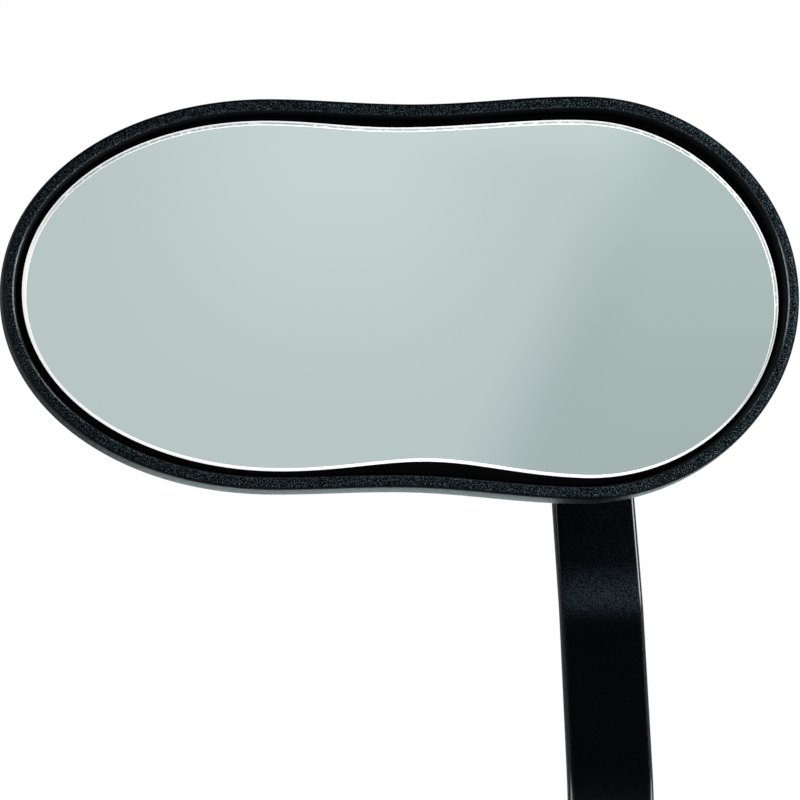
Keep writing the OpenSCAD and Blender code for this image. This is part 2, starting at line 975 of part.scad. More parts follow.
bar_clamp();
bar_shim();
pinch_screw();
pinch_nut();
pivot_bolt();
pivot_washer();
pivot_friction_disc();
pivot_spring_washer();
pivot_nut();
arm();
ball_stud();
stud_friction_disc();
stud_spring_washer();
stud_cap_nut();
ball_liner();
housing();
socket_ring();
pressure_cup();
disc_spring();
spring_cap();
cap_screws();
backing_plate();
glass_pad();
mirror_glass();
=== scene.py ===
"""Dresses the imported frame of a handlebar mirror: shell, glass, arm, ball joint and bar clamp."""

import json
import math

import bmesh
import bpy
import numpy as np
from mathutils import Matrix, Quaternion, Vector


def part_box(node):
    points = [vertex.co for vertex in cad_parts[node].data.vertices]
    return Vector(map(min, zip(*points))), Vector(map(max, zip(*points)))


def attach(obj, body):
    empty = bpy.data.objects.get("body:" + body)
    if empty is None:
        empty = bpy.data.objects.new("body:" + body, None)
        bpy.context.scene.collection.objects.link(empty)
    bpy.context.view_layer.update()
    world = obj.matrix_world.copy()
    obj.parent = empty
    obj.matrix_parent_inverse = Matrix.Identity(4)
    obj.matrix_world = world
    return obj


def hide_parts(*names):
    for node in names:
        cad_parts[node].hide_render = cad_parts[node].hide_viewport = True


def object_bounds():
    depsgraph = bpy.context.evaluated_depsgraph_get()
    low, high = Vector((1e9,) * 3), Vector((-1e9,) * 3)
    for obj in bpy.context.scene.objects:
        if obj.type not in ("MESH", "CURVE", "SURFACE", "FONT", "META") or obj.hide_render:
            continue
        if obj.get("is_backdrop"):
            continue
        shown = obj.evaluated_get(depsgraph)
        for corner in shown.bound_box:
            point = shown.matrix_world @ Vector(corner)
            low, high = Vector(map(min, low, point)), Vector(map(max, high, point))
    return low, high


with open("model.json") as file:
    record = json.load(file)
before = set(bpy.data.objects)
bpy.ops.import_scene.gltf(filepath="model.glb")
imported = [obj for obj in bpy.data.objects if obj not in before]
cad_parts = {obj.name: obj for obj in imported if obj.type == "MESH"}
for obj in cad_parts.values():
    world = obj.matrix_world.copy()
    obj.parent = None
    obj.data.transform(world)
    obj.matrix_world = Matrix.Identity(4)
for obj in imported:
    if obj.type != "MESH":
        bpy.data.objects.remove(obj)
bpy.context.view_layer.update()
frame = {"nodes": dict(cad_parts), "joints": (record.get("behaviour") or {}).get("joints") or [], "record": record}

bl_info = {
    "name": "Handlebar mirror",
    "version": (1, 0, 0),
    "blender": (4, 5, 0),
    "location": "3D View > Sidebar > Mirror",
    "description": "Builds the pieces of a handlebar mirror round its packed frame",
    "category": "Object",
}

JOINTS = {joint["name"]: joint for joint in frame["joints"]}
BALL = np.array(JOINTS["head_tilt"]["pos_m"])
PIVOT = np.array(JOINTS["arm_swing"]["pos_m"])
RIM_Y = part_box("housing")[0].y
FLOOR_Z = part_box("bar_clamp")[0].z
# Points on an end of the head's outline, on a side of its waist, and round a turned piece
END_POINTS, SIDE_POINTS, ROUND = 150, 100, 96
# Distances below which points are merged and slivers dissolved
MERGE, FLAT = 2e-7, 1e-8
# Rings of the shell from the end of the lip: outer rounding without pale specks, a painted dark line of shade, and
# glossy inner edge
DARK_ROUNDING_RINGS, EDGE_RINGS = (-16, -11), (-5, -2)
# Uneven cut of the glass: waves round it, with the cosine and the sine part of each
GLASS_WAVES = ((0, -0.00008, 0.0), (1, -0.00016, 0.00009), (3, 0.00024, -0.00021), (4, 0.0, -0.00037))
# Direction, across and up, in which the ground edge shows a grey line of painted shade
SHADE_LINE_SIDE = np.array([0.55, 0.83])
# Painted highlight at the bend, as pale grain in the coat: its shift upwards, how far it fades up and down, and
# its least level above
HIGHLIGHT_SHIFT, HIGHLIGHT_ABOVE, HIGHLIGHT_BELOW, HIGHLIGHT_REST = 0.0009, 0.0060, 0.0030, 0.15
# Threads: two pitches, the length on the pivot bolt, and how far the end is turned down
PITCH, PINCH_PITCH, BOLT_THREAD, THREAD_POINT = 0.001, 0.0008, 0.009, 0.0006
# Chamfer of bores and necks, gap of a nut round its thread, and step of its round part inside the flats
CHAMFER, NUT_GAP, NUT_STEP = 0.0004, 0.00005, 0.00025
# Cut of the spring washers, and the ribs and edges of the shim
SPLIT_W, RIB_PITCH, RIB_HEIGHT, SHIM_EDGE = 0.0008, 0.0015, 0.00022, 0.0004
# Faint blue of the sheen on black pieces
COOL = (0.7, 0.95, 1.0)
# Pixels across the frame for which the camera's scale is given
FRAME_PIXELS = 800
# Lamps: name, place, width, height and power
LAMPS = (
    ("front_lamp", (0.10, -0.30, 0.90), 0.6, 0.3, 3.2),
    ("right_lamp", (0.28, -0.10, 0.30), 0.15, 0.15, 1.7),
    ("low_lamp", (0.14, -0.15, 0.05), 0.1, 0.1, 0.38),
    ("back_lamp", (-0.3, 0.9, 0.7), 0.6, 0.4, 4.0),
)


def length(name, default, description):
    """Length property, in metres."""
    return bpy.props.FloatProperty(
        name=name, default=default, description=description, unit="LENGTH", precision=5)


def number(name, default, description):
    """Plain number property."""
    return bpy.props.FloatProperty(name=name, default=default, description=description)


def angle(name, degrees, description):
    """Angle property, given in degrees."""
    return bpy.props.FloatProperty(
        name=name, default=math.radians(degrees), description=description, unit="ROTATION")


def colour(name, default, description):
    """Colour property."""
    return bpy.props.FloatVectorProperty(
        name=name, default=default, description=description, subtype="COLOR", size=3, min=0.0, max=1.0)


class HeadSettings(bpy.types.PropertyGroup):
    """Outline of the head, its lip and its glass."""

    left_len: length("Left end", 0.0509, "From the left crest to the tip")
    left_run: length("Left run", 0.0239, "From the left crest to the waist")
    right_run: length("Right run", 0.0352, "From the waist to the right crest")
    right_len: length("Right end", 0.0406, "From the right crest to the tip")
    left_half: length("Left half height", 0.0368, "Half height at the left crest")
    waist_half: length("Waist half height", 0.0362, "Half height at the waist")
    right_half: length("Right half height", 0.0382, "Half height at the right crest")
    left_power: number("Left fullness", 2.05, "2 is an ellipse, more is squarer")
    right_power: number("Right fullness", 1.98, "2 is an ellipse, more is squarer")
    crest_offset: length("Crest offset", 0.0053, "How far the right crest lies left of the ball")
    wall: length("Wall", 0.0022, "Wall thickness of the back")
    rim_w: length("Lip width", 0.0023, "Width of the front lip")
    rim_out: length("Lip outer rounding", 0.0013, "Rounding of the lip's outer edge")
    rim_in: length("Lip inner rounding", 0.0006, "Rounding of the lip's inner edge")
    bulge: length("Side swell", 0.0007, "How far the side swells out behind the lip")
    side_depth: length("Side depth", 0.010, "Depth at which the side turns into the back")
    dome_power: number("Back fullness", 2.2, "2 is round, more is flatter")
    groove_draft: length("Groove draft", 0.0004, "Draft of the wall inside the lip")
    ledge_w: length("Ledge", 0.0015, "Width of the ledge under the backing plate")
    land_r: length("Land radius", 0.016, "Radius of the flat land round the socket")
    hole_r: length("Socket hole radius", 0.01155, "Radius of the hole for the socket ring")
    glass_r: length("Glass radius", 1.4, "Radius of the convex glass")
    glass_t: length("Glass thickness", 0.0025, "Thickness of the glass")
    glass_recess: length("Glass recess", 0.0012, "Depth of the glass behind the lip")
    glass_gap: length("Glass gap", 0.0013, "Gap between the groove's wall and the glass")
    glass_dip: length("Glass waist", 0.0005, "How much deeper the waist of the glass is")
    glass_reach: length("Glass reach", 0.0005, "How much further the glass reaches at its ends")
    glass_bevel: length("Glass bevel", 0.0010, "Width of the ground edge")
    bevel_least: number("Least bevel", 0.55, "Share of the width kept along the bottom")
    bevel_depth: length("Bevel depth", 0.0008, "Depth of the ground edge")


class ArmSettings(bpy.types.PropertyGroup):
    """Bent strap between clamp and ball."""

    strap_w: length("Width", 0.0162, "Width of the strap")
    strap_t: length("Thickness", 0.004, "Thickness of the strap")
    strap_edge: length("Edge rounding", 0.0011, "Rounding of the strap's edges")
    bend_r: length("Bend radius", 0.030, "Radius of the bends")
    pad_run: length("Pad height", 0.013, "Height of the upright pad at the pivot")
    lower_run: length("Lower height", 0.0365, "Height of the lower slope")
    lower_slope: angle("Lower lean", 22, "Lean of the lower slope from upright")
    upper_run: length("Upper height", 0.0315, "Height of the upper slope")
    upper_slope: angle("Upper lean", 30, "Lean of the upper slope from upright")
    eye_r: length("Eye radius", 0.00305, "Radius of the two eyes")


class HardwareSettings(bpy.types.PropertyGroup):
    """Ball joint, screws, nuts and clamp."""

    ball_r: length("Ball radius", 0.0065, "Radius of the ball")
    neck_r: length("Neck radius", 0.0032, "Radius of the neck behind the ball")
    stud_reach: length("Stud reach", 0.015, "From the ball's centre to the front of the arm")
    collar_t: length("Collar", 0.003, "Thickness of the hexagon collar")
    collar_af: length("Collar flats", 0.011, "Width across the flats of the collar")
    thread_r: length("Thread radius", 0.003, "Radius of the stud's and the bolt's thread")
    clearance: length("Clearance", 0.00015, "Gap of plain holes round a thread")
    disc_t: length("Disc thickness", 0.001, "Thickness of the friction discs")
    disc_r: length("Disc radius", 0.0076, "Radius of the friction discs")
    spring_washer_t: length("Spring washer", 0.0014, "Thickness of the spring washers")
    spring_washer_r: length("Spring washer radius", 0.0054, "Radius of the spring washers")
    split_turn: angle("Split", 35, "Turn of the spring washers' cuts")
    nut_af: length("Nut flats", 0.010, "Width across the flats of the nuts")
    cap_nut_hex: length("Cap nut hexagon", 0.005, "Height of the cap nut's hexagon")
    cap_nut_crown: length("Cap nut crown", 0.002, "Height of the cap nut's straight crown")
    lock_nut_h: length("Lock nut", 0.006, "Height of the lock nut")
    lock_collar_h: length("Lock nut collar", 0.0012, "Height of the lock nut's round collar")
    thread_out: length("Thread end", 0.0015, "How far the bolt stands out of its nut")
    washer_r: length("Washer radius", 0.0062, "Radius of the washer under the bolt's head")
    washer_t: length("Washer", 0.0012, "Thickness of the washer under the bolt's head")
    bolt_head_r: length("Bolt head radius", 0.00525, "Radius of the bolt's button head")
    bolt_head_h: length("Bolt head", 0.0033, "Height of the bolt's button head")
    key_af: length("Key", 0.004, "Width across the flats of the hexagon sockets")
    key_depth: length("Key depth", 0.002, "Depth of the hexagon sockets")
    socket_r: length("Socket radius", 0.0078, "Radius of the ring's seat")
    socket_wall: length("Socket wall", 0.0036, "Wall of the ring beside the ball")
    cup_step: length("Cup step", 0.0002, "How much wider the cup's bore is than the seat")
    flange_w: length("Flange width", 0.0036, "Width of the flange beyond the spigot")
    flange_h: length("Flange height", 0.0036, "Height of the flange on the shell's back")
    seat_back: length("Flange seat", 0.002, "How far the flange's seat lies behind the ball's centre")
    spigot_front: length("Spigot", 0.0035, "Length of the spigot in front of the ball's centre")
    mouth_angle: angle("Mouth", 50, "Half angle of the socket's mouth")
    lug_t: length("Lug", 0.007, "Thickness of the clamp's lug")
    bar_d: length("Bar", 0.0222, "Diameter of the handlebar")
    shim_wall: length("Shim wall", 0.0016, "Wall of the shim")
    clamp_w: length("Clamp width", 0.018, "Width of the clamp along the bar")
    clamp_round: length("Clamp rounding", 0.0006, "Rounding of the clamp's corners")
    slit: length("Slit", 0.003, "Slit between the ears")
    ear_face: length("Ear face", 0.0085, "From the slit's middle to the outside of an ear")
    pinch_drop: length("Pinch screw", 0.02293, "How far the pinch screw lies below the bar's axis")
    pinch_r: length("Pinch thread radius", 0.0025, "Radius of the pinch screw's thread")
    pinch_head_r: length("Pinch head radius", 0.00425, "Radius of the pinch screw's head")
    pinch_head_h: length("Pinch head", 0.005, "Height of the pinch screw's head")
    pinch_nut_af: length("Pinch nut flats", 0.008, "Width across the flats of the pinch nut")
    pinch_nut_t: length("Pinch nut", 0.004, "Thickness of the pinch nut")


class FinishSettings(bpy.types.PropertyGroup):
    """Colours of the finishes."""

    shell: colour("Shell", (0.0027, 0.0041, 0.0051), "Grained plastic of the shell")
    # Darker than the shell's colour, on the same moulding: painted shade inside the lip's groove.
    groove: colour("Groove", (0.0006, 0.0008, 0.0010), "Smooth plastic inside the lip")
    silver: colour("Silver", (0.562, 0.664, 0.642), "Silvered face of the glass")
    ground: colour("Ground edge", (0.93, 0.95, 0.94), "Frosted edge of the glass")
    coat: colour("Powder coat", (0.0019, 0.0027, 0.0036), "Powder coat of arm and clamp")
    steel: colour("Zinc", (0.60, 0.61, 0.63), "Zinc on screws, nuts and stud")
    nylon: colour("Nylon", (0.80, 0.78, 0.71), "Nylon of discs and liner")
    rubber: colour("Rubber", (0.018, 0.018, 0.019), "Rubber of the shim")
    inner: colour("Inner plastic", (0.006, 0.0064, 0.0070), "Plastic of the socket and the plate")
    foam: colour("Foam", (0.03, 0.03, 0.03), "Foam pad behind the glass")


class StageSettings(bpy.types.PropertyGroup):
    """Camera, floor and light."""

    azimuth: angle("Azimuth", -4.5, "Direction of the camera round the upright axis")
    elevation: angle("Elevation", -2.5, "Elevation of the camera")
    distance: length("Distance", 0.65, "From the camera to the lip's plane")
    scale: length("Pixel", 0.0001877, "Size of one pixel of an 800 pixel frame on the lip's plane")
    aim_x: length("Aim across", -0.03546, "Aim point from the right crest, along the bar")
    aim_z: length("Aim down", -0.01974, "Aim point from the ball, upwards")
    roll: angle("Roll", 0.29, "Turn of the camera about its line of sight")
    floor: colour("Floor", (0.86, 0.86, 0.86), "Floor")
    soft: number("Soft light", 0.16, "Level of the even light from all round")
    card: colour("Card", (1.0, 1.0, 1.0), "White surroundings")


SETTINGS = {
    "mirror_head": HeadSettings,
    "mirror_arm": ArmSettings,
    "mirror_hardware": HardwareSettings,
    "mirror_finish": FinishSettings,
    "mirror_stage": StageSettings,
}


class Value:
    """Socket of a node tree. Arithmetic on it adds Math nodes to the tree."""

    def __init__(self, finish, socket):
        self.finish = finish
        self.socket = socket

    def math(self, operation, *others):
        """Math node with this value first."""
        return self.finish.math(operation, self, *others)

    def __add__(self, other):
        return self.math("ADD", other)

    __radd__ = __add__

    def __sub__(self, other):
        return self.math("SUBTRACT", other)

    def __rsub__(self, other):
        return self.finish.math("SUBTRACT", other, self)

    def __mul__(self, other):
        return self.math("MULTIPLY", other)

    __rmul__ = __mul__

    def step(self, low, high):
        """0 below low, 1 above high, with a smooth turn between."""
        return self.finish.add(
            "ShaderNodeMapRange", {"interpolation_type": "SMOOTHSTEP"},
            {"Value": self, "From Min": low, "From Max": high})

    def fall(self, low, high):
        """1 below low, 0 above high, with a smooth turn between."""
        return 1.0 - self.step(low, high)


class Finish:
    """Node tree of one material or of the world."""

    def __init__(self, holder):
        holder.use_nodes = True
        self.holder = holder
        self.tree = holder.node_tree
        self.tree.nodes.clear()

    def add(self, kind, settings=None, sockets=None, output=0):
        """Adds a node: its settings first, then the values or links of its sockets."""
        node = self.tree.nodes.new(kind)
        for key, value in (settings or {}).items():
            setattr(node, key, value)
        for key, value in (sockets or {}).items():
            self.feed(node.inputs[key], value)
        return Value(self, node.outputs[output]) if len(node.outputs) else node

    def feed(self, socket, value):
        """Links a value to a socket, or sets it there."""
        if isinstance(value, Value):
            self.tree.links.new(value.socket, socket)
        elif socket.type == "RGBA" and len(value) == 3:
            socket.default_value = (*value, 1.0)
        else:
            socket.default_value = value

    def math(self, operation, *values):
        """Math node on values in their order."""
        return self.add("ShaderNodeMath", {"operation": operation}, dict(enumerate(values)))

    def place(self, stretch=(1.0, 1.0, 1.0)):
        """Object coordinates, stretched along the axes."""
        here = self.add("ShaderNodeTexCoord", output="Object")
        return self.add("ShaderNodeMapping", {}, {"Vector": here, "Scale": stretch})

    def noise(self, where, scale, detail=2.0, rough=0.5):
        """Noise between 0 and 1."""
        return self.add("ShaderNodeTexNoise", {}, {
            "Vector": where, "Scale": scale, "Detail": detail, "Roughness": rough})

    def cells(self, where, scale):
        """Distance in a cell pattern."""
        return self.add("ShaderNodeTexVoronoi", {}, {"Vector": where, "Scale": scale}, output="Distance")

    def attribute(self, name):
        """Value that a mesh carries at its points."""
        return self.add("ShaderNodeAttribute", {"attribute_name": name}, output="Fac")

    def mix(self, factor, low, high, blend="MIX"):
        """Colour between low and high, or low blended with high."""
        node = self.tree.nodes.new("ShaderNodeMix")
        node.data_type, node.blend_type = "RGBA", blend
        for name, value in (("Factor_Float", factor), ("A_Color", low), ("B_Color", high)):
            self.feed(next(s for s in node.inputs if s.identifier == name), value)
        return Value(self, next(s for s in node.outputs if s.identifier == "Result_Color"))

    def colour(self, red, green, blue):
        """Colour of three values."""
        return self.add("ShaderNodeCombineColor", {}, {0: red, 1: green, 2: blue})

    def bump(self, height, distance, strength):
        """Normal of a surface raised by height."""
        return self.add("ShaderNodeBump", {}, {
            "Height": height, "Distance": distance, "Strength": strength})

    def surface(self, sockets):
        """Principled surface on the material's output."""
        shader = self.add("ShaderNodeBsdfPrincipled", {}, sockets)
        self.add("ShaderNodeOutputMaterial", {}, {"Surface": shader})
        return self.holder

    def clouded(self, colour, levels, cloud, sockets):
        """Principled surface whose colour clouds between two levels."""
        low, high = (shade(colour, level) for level in levels)
        return self.surface({"Base Color": self.mix(cloud, low, high), **sockets})


def shade(colour, level):
    """Colour at a level: below 1 darker, above 1 lighter."""
    return [c * level for c in colour]


def new_finish(name):
    """Empty finish of a new material, and its object coordinates."""
    finish = Finish(bpy.data.materials.new(name))
    return finish, finish.place()


def grained_plastic(colours):
    """Shell plastic: spark grain with pale specks, but for the lip's outer rounding, where leaving them out paints
    a dark line of shade.

    Inside the groove it has no grain relief and a darker colour, which is painted shade; the lip's inner edge is
    glossy.
    """
    f, where = new_finish("grained_plastic")
    inside, edge = f.attribute("inside"), f.attribute("edge")
    grain = f.noise(where, 5200.0, 0.0)
    fleck = f.cells(where, 2300.0)
    # Leaving out the specks on the lip's outer rounding paints a dark line of shade there.
    speck = grain.step(0.56, 0.78) * (1.0 - f.attribute("smooth"))
    tone = f.mix(speck, shade(colours.shell, 0.2), shade(colours.shell, 28.0))
    height = (grain * 0.8 - fleck * 0.5) * (1.0 - inside)
    return f.surface({
        # Inside the groove the darker groove colour is painted shade.
        "Base Color": f.mix(inside, tone, colours.groove),
        "Roughness": 0.34 + grain * 0.12 + inside * 0.5,
        "Specular IOR Level": 0.03,
        "Specular Tint": COOL,
        "Coat Weight": edge * (0.5 + speck * 0.5),
        "Coat Roughness": 0.12,
        "Normal": f.bump(height, 0.00016, 0.8),
    })


def silvered_glass(colours):
    """Mirror face with a ground edge that glows as painted light: the band attribute runs from 0 on the face to 1
    on the rim.

    Where the shaded attribute says so, a broken grey line of painted shade runs between two white ones.
    """
    f, where = new_finish("silvered_glass")
    chips = f.noise(where, 900.0, 3.0, 0.7)
    place = f.attribute("band") + (chips - 0.5) * 0.10
    rim = place.step(0.02, 0.08)
    # Broken grey line on the ground edge: painted shade, strongest where the shaded attribute is high.
    line = place.step(0.26, 0.36) * place.fall(0.62, 0.74) * chips.step(0.32, 0.50)
    frost = f.noise(where, 2400.0, 2.0)
    white = f.mix(frost, shade(colours.ground, 0.92), colours.ground)
    edge = f.mix(line * f.attribute("shaded"), white, shade(colours.silver, 0.6))
    cloud = f.noise(where, 14.0, 1.0)
    silver = f.mix(cloud, shade(colours.silver, 0.985), colours.silver)
    return f.surface({
        "Base Color": f.mix(rim, silver, edge),
        "Metallic": 1.0 - rim,
        "Roughness": 0.015 + rim * 0.5,
        "Normal": f.bump(frost * rim, 0.00004, 0.5),
        # The ground edge glows: painted light that keeps it white in the groove.
        "Emission Color": f.mix(rim, (0.0, 0.0, 0.0), edge),
        "Emission Strength": 0.85,
    })


def powder_coat(colours, name, peel, depth):
    """Black powder coat: orange peel with finer grain, whose pale specks are few all over and many at the bend,
    where they are a painted highlight.

    Peel is the relief's height and depth the level of the black.
    """
    f, where = new_finish(name)
    soft = f.noise(where, 700.0, 2.0)
    fine = f.noise(where, 4200.0, 1.0, 0.6)
    cloud = f.noise(where, 60.0, 2.0)
    base = f.mix(cloud.step(0.3, 0.7), shade(colours.coat, 0.75 * depth), shade(colours.coat, 1.3 * depth))
    least = 0.12 * depth
    # Pale specks: a few all over as grain, and more where the bend attribute rises, a painted highlight.
    pale = fine.step(0.34, 0.70) * (least + (1.0 - least) * f.attribute("bend"))
    return f.surface({
        "Base Color": f.mix(pale, base, shade(colours.coat, 10.5)),
        "Roughness": 0.22 + fine * 0.12,
        "Specular IOR Level": 0.08,
        "Specular Tint": COOL,
        "Coat Weight": f.attribute("burnish") * 0.8,
        "Coat Roughness": 0.10,
        "Normal": f.bump(soft * 0.6 + fine * 0.5, peel, 0.6),
    })


def zinc_steel(colours):
    """Bright zinc with a faint bluish and yellowish cloud and fine turning marks."""
    f, where = new_finish("zinc_steel")
    cloud = f.noise(where, 130.0, 3.0)
    marks = f.noise(f.place((1.0, 14.0, 1.0)), 420.0, 3.0, 0.65)
    red, green, blue = colours.steel
    return f.surface({
        "Base Color": f.mix(cloud.step(0.35, 0.65), (red * 1.03, green, blue * 0.9), colours.steel),
        "Metallic": 1.0,
        "Roughness": 0.22 + marks * 0.18,
        "Normal": f.bump(marks, 0.00003, 0.35),
    })


def nylon_plastic(colours):
    """Natural nylon, slightly cloudy."""
    f, where = new_finish("nylon_plastic")
    cloud = f.noise(where, 240.0, 3.0)
    return f.clouded(colours.nylon, (0.9, 1.0), cloud, {
        "Roughness": 0.42 + cloud * 0.16,
        "Normal": f.bump(f.noise(where, 1500.0), 0.00003, 0.4),
    })


def rubber_sheet(colours):
    """Matte rubber with a fine pitted face."""
    f, where = new_finish("rubber_sheet")
    pits = f.cells(where, 1300.0)
    return f.clouded(colours.rubber, (0.7, 1.3), f.noise(where, 200.0), {
        "Roughness": 0.78 + pits * 0.2,
        "Specular IOR Level": 0.25,
        "Normal": f.bump(pits, 0.00008, 0.5),
    })


def inner_plastic(colours, name, shine, depth):
    """Smooth moulded plastic with a fine satin: shine is its gloss and depth the level of the black."""
    f, where = new_finish(name)
    satin = f.noise(where, 1900.0, 2.0)
    return f.clouded(colours.inner, (0.8 * depth, 1.2 * depth), f.noise(where, 120.0), {
        "Roughness": 0.40 + satin * 0.18,
        "Specular IOR Level": shine,
        "Normal": f.bump(satin, 0.00004, 0.4),
    })


def cell_foam(colours):
    """Open foam with small cells."""
    f, where = new_finish("cell_foam")
    pores = f.cells(where, 1500.0)
    return f.clouded(colours.foam, (0.5, 1.4), pores, {
        "Roughness": 0.85 + pores * 0.1,
        "Normal": f.bump(pores, 0.0002, 0.8),
    })


MAKERS = {
    "housing_black": grained_plastic,
    "glass": silvered_glass,
    "arm_black": lambda colours: powder_coat(colours, "arm_powder_coat", 0.00012, 0.15),
    "clamp_black": lambda colours: powder_coat(colours, "clamp_powder_coat", 0.00016, 1.0),
    "steel": zinc_steel,
    "nylon": nylon_plastic,
    "shim_rubber": rubber_sheet,
    "inner_black": lambda colours: inner_plastic(colours, "inner_plastic", 0.16, 1.0),
    "plate_black": lambda colours: inner_plastic(colours, "plate_plastic", 0.02, 0.3),
    "foam": cell_foam,
}
SLOT_OF = {row["node"]: row["material_slot"] for row in frame["record"]["subparts"]}
BODY_OF = {node: body for body, nodes in frame["record"]["behaviour"]["bodies"].items() for node in nodes}
made = {}


def finish_of(slot):
    """Material of a slot, made when first asked for."""
    if slot not in made:
        made[slot] = MAKERS[slot](bpy.context.scene.mirror_finish)
    return made[slot]


def skin(name, rings, loop=False, sharp=35.0, values=None):
    """Mesh object over rings of points: quads join each ring to the next, and coincident points are merged.

    Values are attributes of the points, and edges sharper than an angle in degrees stay sharp.
    """
    rows, count = rings.shape[:2]
    here = np.arange(rows * count).reshape(rows, count)
    below = np.roll(here, -1, 0) if loop else here[1:]
    above = here if loop else here[:-1]
    quads = np.stack([above, np.roll(above, -1, 1), np.roll(below, -1, 1), below], -1).reshape(-1, 4)
    mesh = bpy.data.meshes.new(name)
    mesh.from_pydata(rings.reshape(-1, 3), [], quads)
    for key, value in (values or {}).items():
        mesh.attributes.new(key, "FLOAT", "POINT").data.foreach_set(
            "value", np.broadcast_to(value, (rows, count)).astype(np.float32).ravel())
    shape = bmesh.new()
    shape.from_mesh(mesh)
    bmesh.ops.remove_doubles(shape, verts=shape.verts, dist=MERGE)
    bmesh.ops.dissolve_degenerate(shape, edges=shape.edges, dist=FLAT)
    bmesh.ops.recalc_face_normals(shape, faces=shape.faces)
    return link(name, mesh, shape, sharp)


def link(name, mesh, shape, sharp):
    """Puts an edited shape into a mesh, smooths it between sharp edges, and links an object of it."""
    shape.to_mesh(mesh)
    shape.free()
    mesh.polygons.foreach_set("use_smooth", np.ones(len(mesh.polygons), bool))
    mesh.set_sharp_from_angle(angle=math.radians(sharp))
    piece = bpy.data.objects.new(name, mesh)
    bpy.context.scene.collection.objects.link(piece)
    return piece


def stand_for(piece, node):
    """Puts a new piece in a CAD node's stead, with the node's body and finish."""
    piece.data.materials.clear()
    piece.data.materials.append(finish_of(SLOT_OF[node]))
    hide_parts(node)
    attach(piece, BODY_OF[node])
    return piece


def outline(head, inset, dip=0.0, reach=0.0):
    """Outline of the head as (across, up) points from the ball's axis.

    Each end is a superellipse, |x/a|^p + |z/b|^p = 1. Between the crests the half height follows half a
    cosine wave from each crest down to the waist. Inset shortens all half axes, dip the waist alone, and
    reach lets the two tips out again.
    """
    right_x = -head.crest_offset
    waist_x = right_x - head.right_run
    left_x = waist_x - head.left_run
    left, right = head.left_half - inset, head.right_half - inset
    waist = head.waist_half - inset - dip
    turn = np.linspace(-math.pi / 2, math.pi / 2, END_POINTS, endpoint=False)
    run = np.linspace(right_x, left_x, SIDE_POINTS, endpoint=False)

    def end(along, half, power):
        c, s = np.cos(turn), np.sin(turn)
        return np.abs(c) ** (2 / power) * along, np.sign(s) * np.abs(s) ** (2 / power) * half

    def height(x):
        falling = waist + (left - waist) * (1 + np.cos(np.pi * (x - left_x) / head.left_run)) / 2
        rising = waist + (right - waist) * (1 - np.cos(np.pi * (x - waist_x) / head.right_run)) / 2
        return np.where(x < waist_x, falling, rising)

    a, b = end(head.right_len - inset + reach, right, head.right_power)
    c, d = end(head.left_len - inset + reach, left, head.left_power)
    back = left_x + right_x - run
    return np.concatenate([
        np.stack([right_x + a, b], 1), np.stack([run, height(run)], 1),
        np.stack([left_x - c, -d], 1), np.stack([back, -height(back)], 1)])


def ring_at(points, depth):
    """Outline points placed at a depth behind the front of the lip."""
    depth = np.broadcast_to(depth, len(points))
    return np.stack([points[:, 0], RIM_Y + depth, BALL[2] + points[:, 1]], 1)


def outward(points):
    """Outward directions of a closed outline at its points."""
    along = np.roll(points, -1, 0) - np.roll(points, 1, 0)
    return np.stack([along[:, 1], -along[:, 0]], 1) / np.linalg.norm(along, axis=1)[:, None]


def circle_like(points, radius):
    """Circle with its points on the same rays as those of an outline."""
    return points * radius / np.linalg.norm(points, axis=1)[:, None]


def dome(head, points, turns, start, end):
    """Rings of the back: the outline closes onto the round land while the depth rises on a superellipse."""
    goal = circle_like(points, head.land_r)
    close = 1 - np.cos(turns)
    rise = (1 - (1 - close) ** head.dome_power) ** (1 / head.dome_power)
    return [ring_at(points * (1 - c) + goal * c, start + (end - start) * r) for c, r in zip(close, rise)]


def sag(head, distance):
    """Depth that the convex face has lost at a distance from its middle."""
    return head.glass_r - np.sqrt(head.glass_r ** 2 - distance ** 2)


def glass_middle(head):
    """Place of the glass's highest point along the bar, from the ball."""
    left = -head.crest_offset - head.right_run - head.left_run - head.left_len
    return (left + head.right_len - head.crest_offset) / 2


def depths(head):
    """Depths behind the lip of the plate's ledge, of the back's outside and of its inside."""
    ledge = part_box("backing_plate")[1].y - RIM_Y
    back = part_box("housing")[1].y - RIM_Y
    return ledge, back, back - head.wall


def build_shell(head):
    """Shell: one closed skin from the socket hole over the back and the lip into the hollow."""
    ledge, back, inner_back = depths(head)
    outer = outline(head, -head.bulge)
    inner = outline(head, head.rim_w + head.groove_draft + head.ledge_w)
    quarter = math.pi / 2
    rings = [ring_at(circle_like(outer, head.hole_r), back)]
    rings += dome(head, outer, np.linspace(quarter, 0, 41), head.side_depth, back)

    def add(inset, depth):
        rings.append(ring_at(outline(head, inset), depth))

    for t in np.linspace(1, 0, 11)[1:-1]:
        add(-head.bulge * math.sin(quarter * t), head.rim_out + (head.side_depth - head.rim_out) * t)
    for turn in np.linspace(0, quarter, 9):
        add(head.rim_out * (1 - math.cos(turn)), head.rim_out * (1 - math.sin(turn)))
    for turn in np.linspace(quarter, 0, 7):
        add(head.rim_w - head.rim_in * (1 - math.cos(turn)), head.rim_in * (1 - math.sin(turn)))
    lip_end = len(rings)
    for t in np.linspace(0, 1, 6)[1:]:
        add(head.rim_w + head.groove_draft * t, head.rim_in + (ledge - head.rim_in) * t)
    rings.append(ring_at(inner, ledge))
    rings += dome(head, inner, np.linspace(0, quarter, 17), head.side_depth, inner_back)
    rings.append(ring_at(circle_like(inner, head.hole_r), inner_back))
    place = np.arange(len(rings))[:, None] - lip_end
    values = {
        "inside": place >= EDGE_RINGS[1],
        "edge": ((place >= EDGE_RINGS[0]) & (place < EDGE_RINGS[1])) * np.abs(outward(outer)[:, 0]),
        # Outer rounding whose missing specks paint a dark line of shade.
        "smooth": (place >= DARK_ROUNDING_RINGS[0]) & (place < DARK_ROUNDING_RINGS[1]),
    }
    return skin("shell", np.stack(rings), loop=True, values=values)


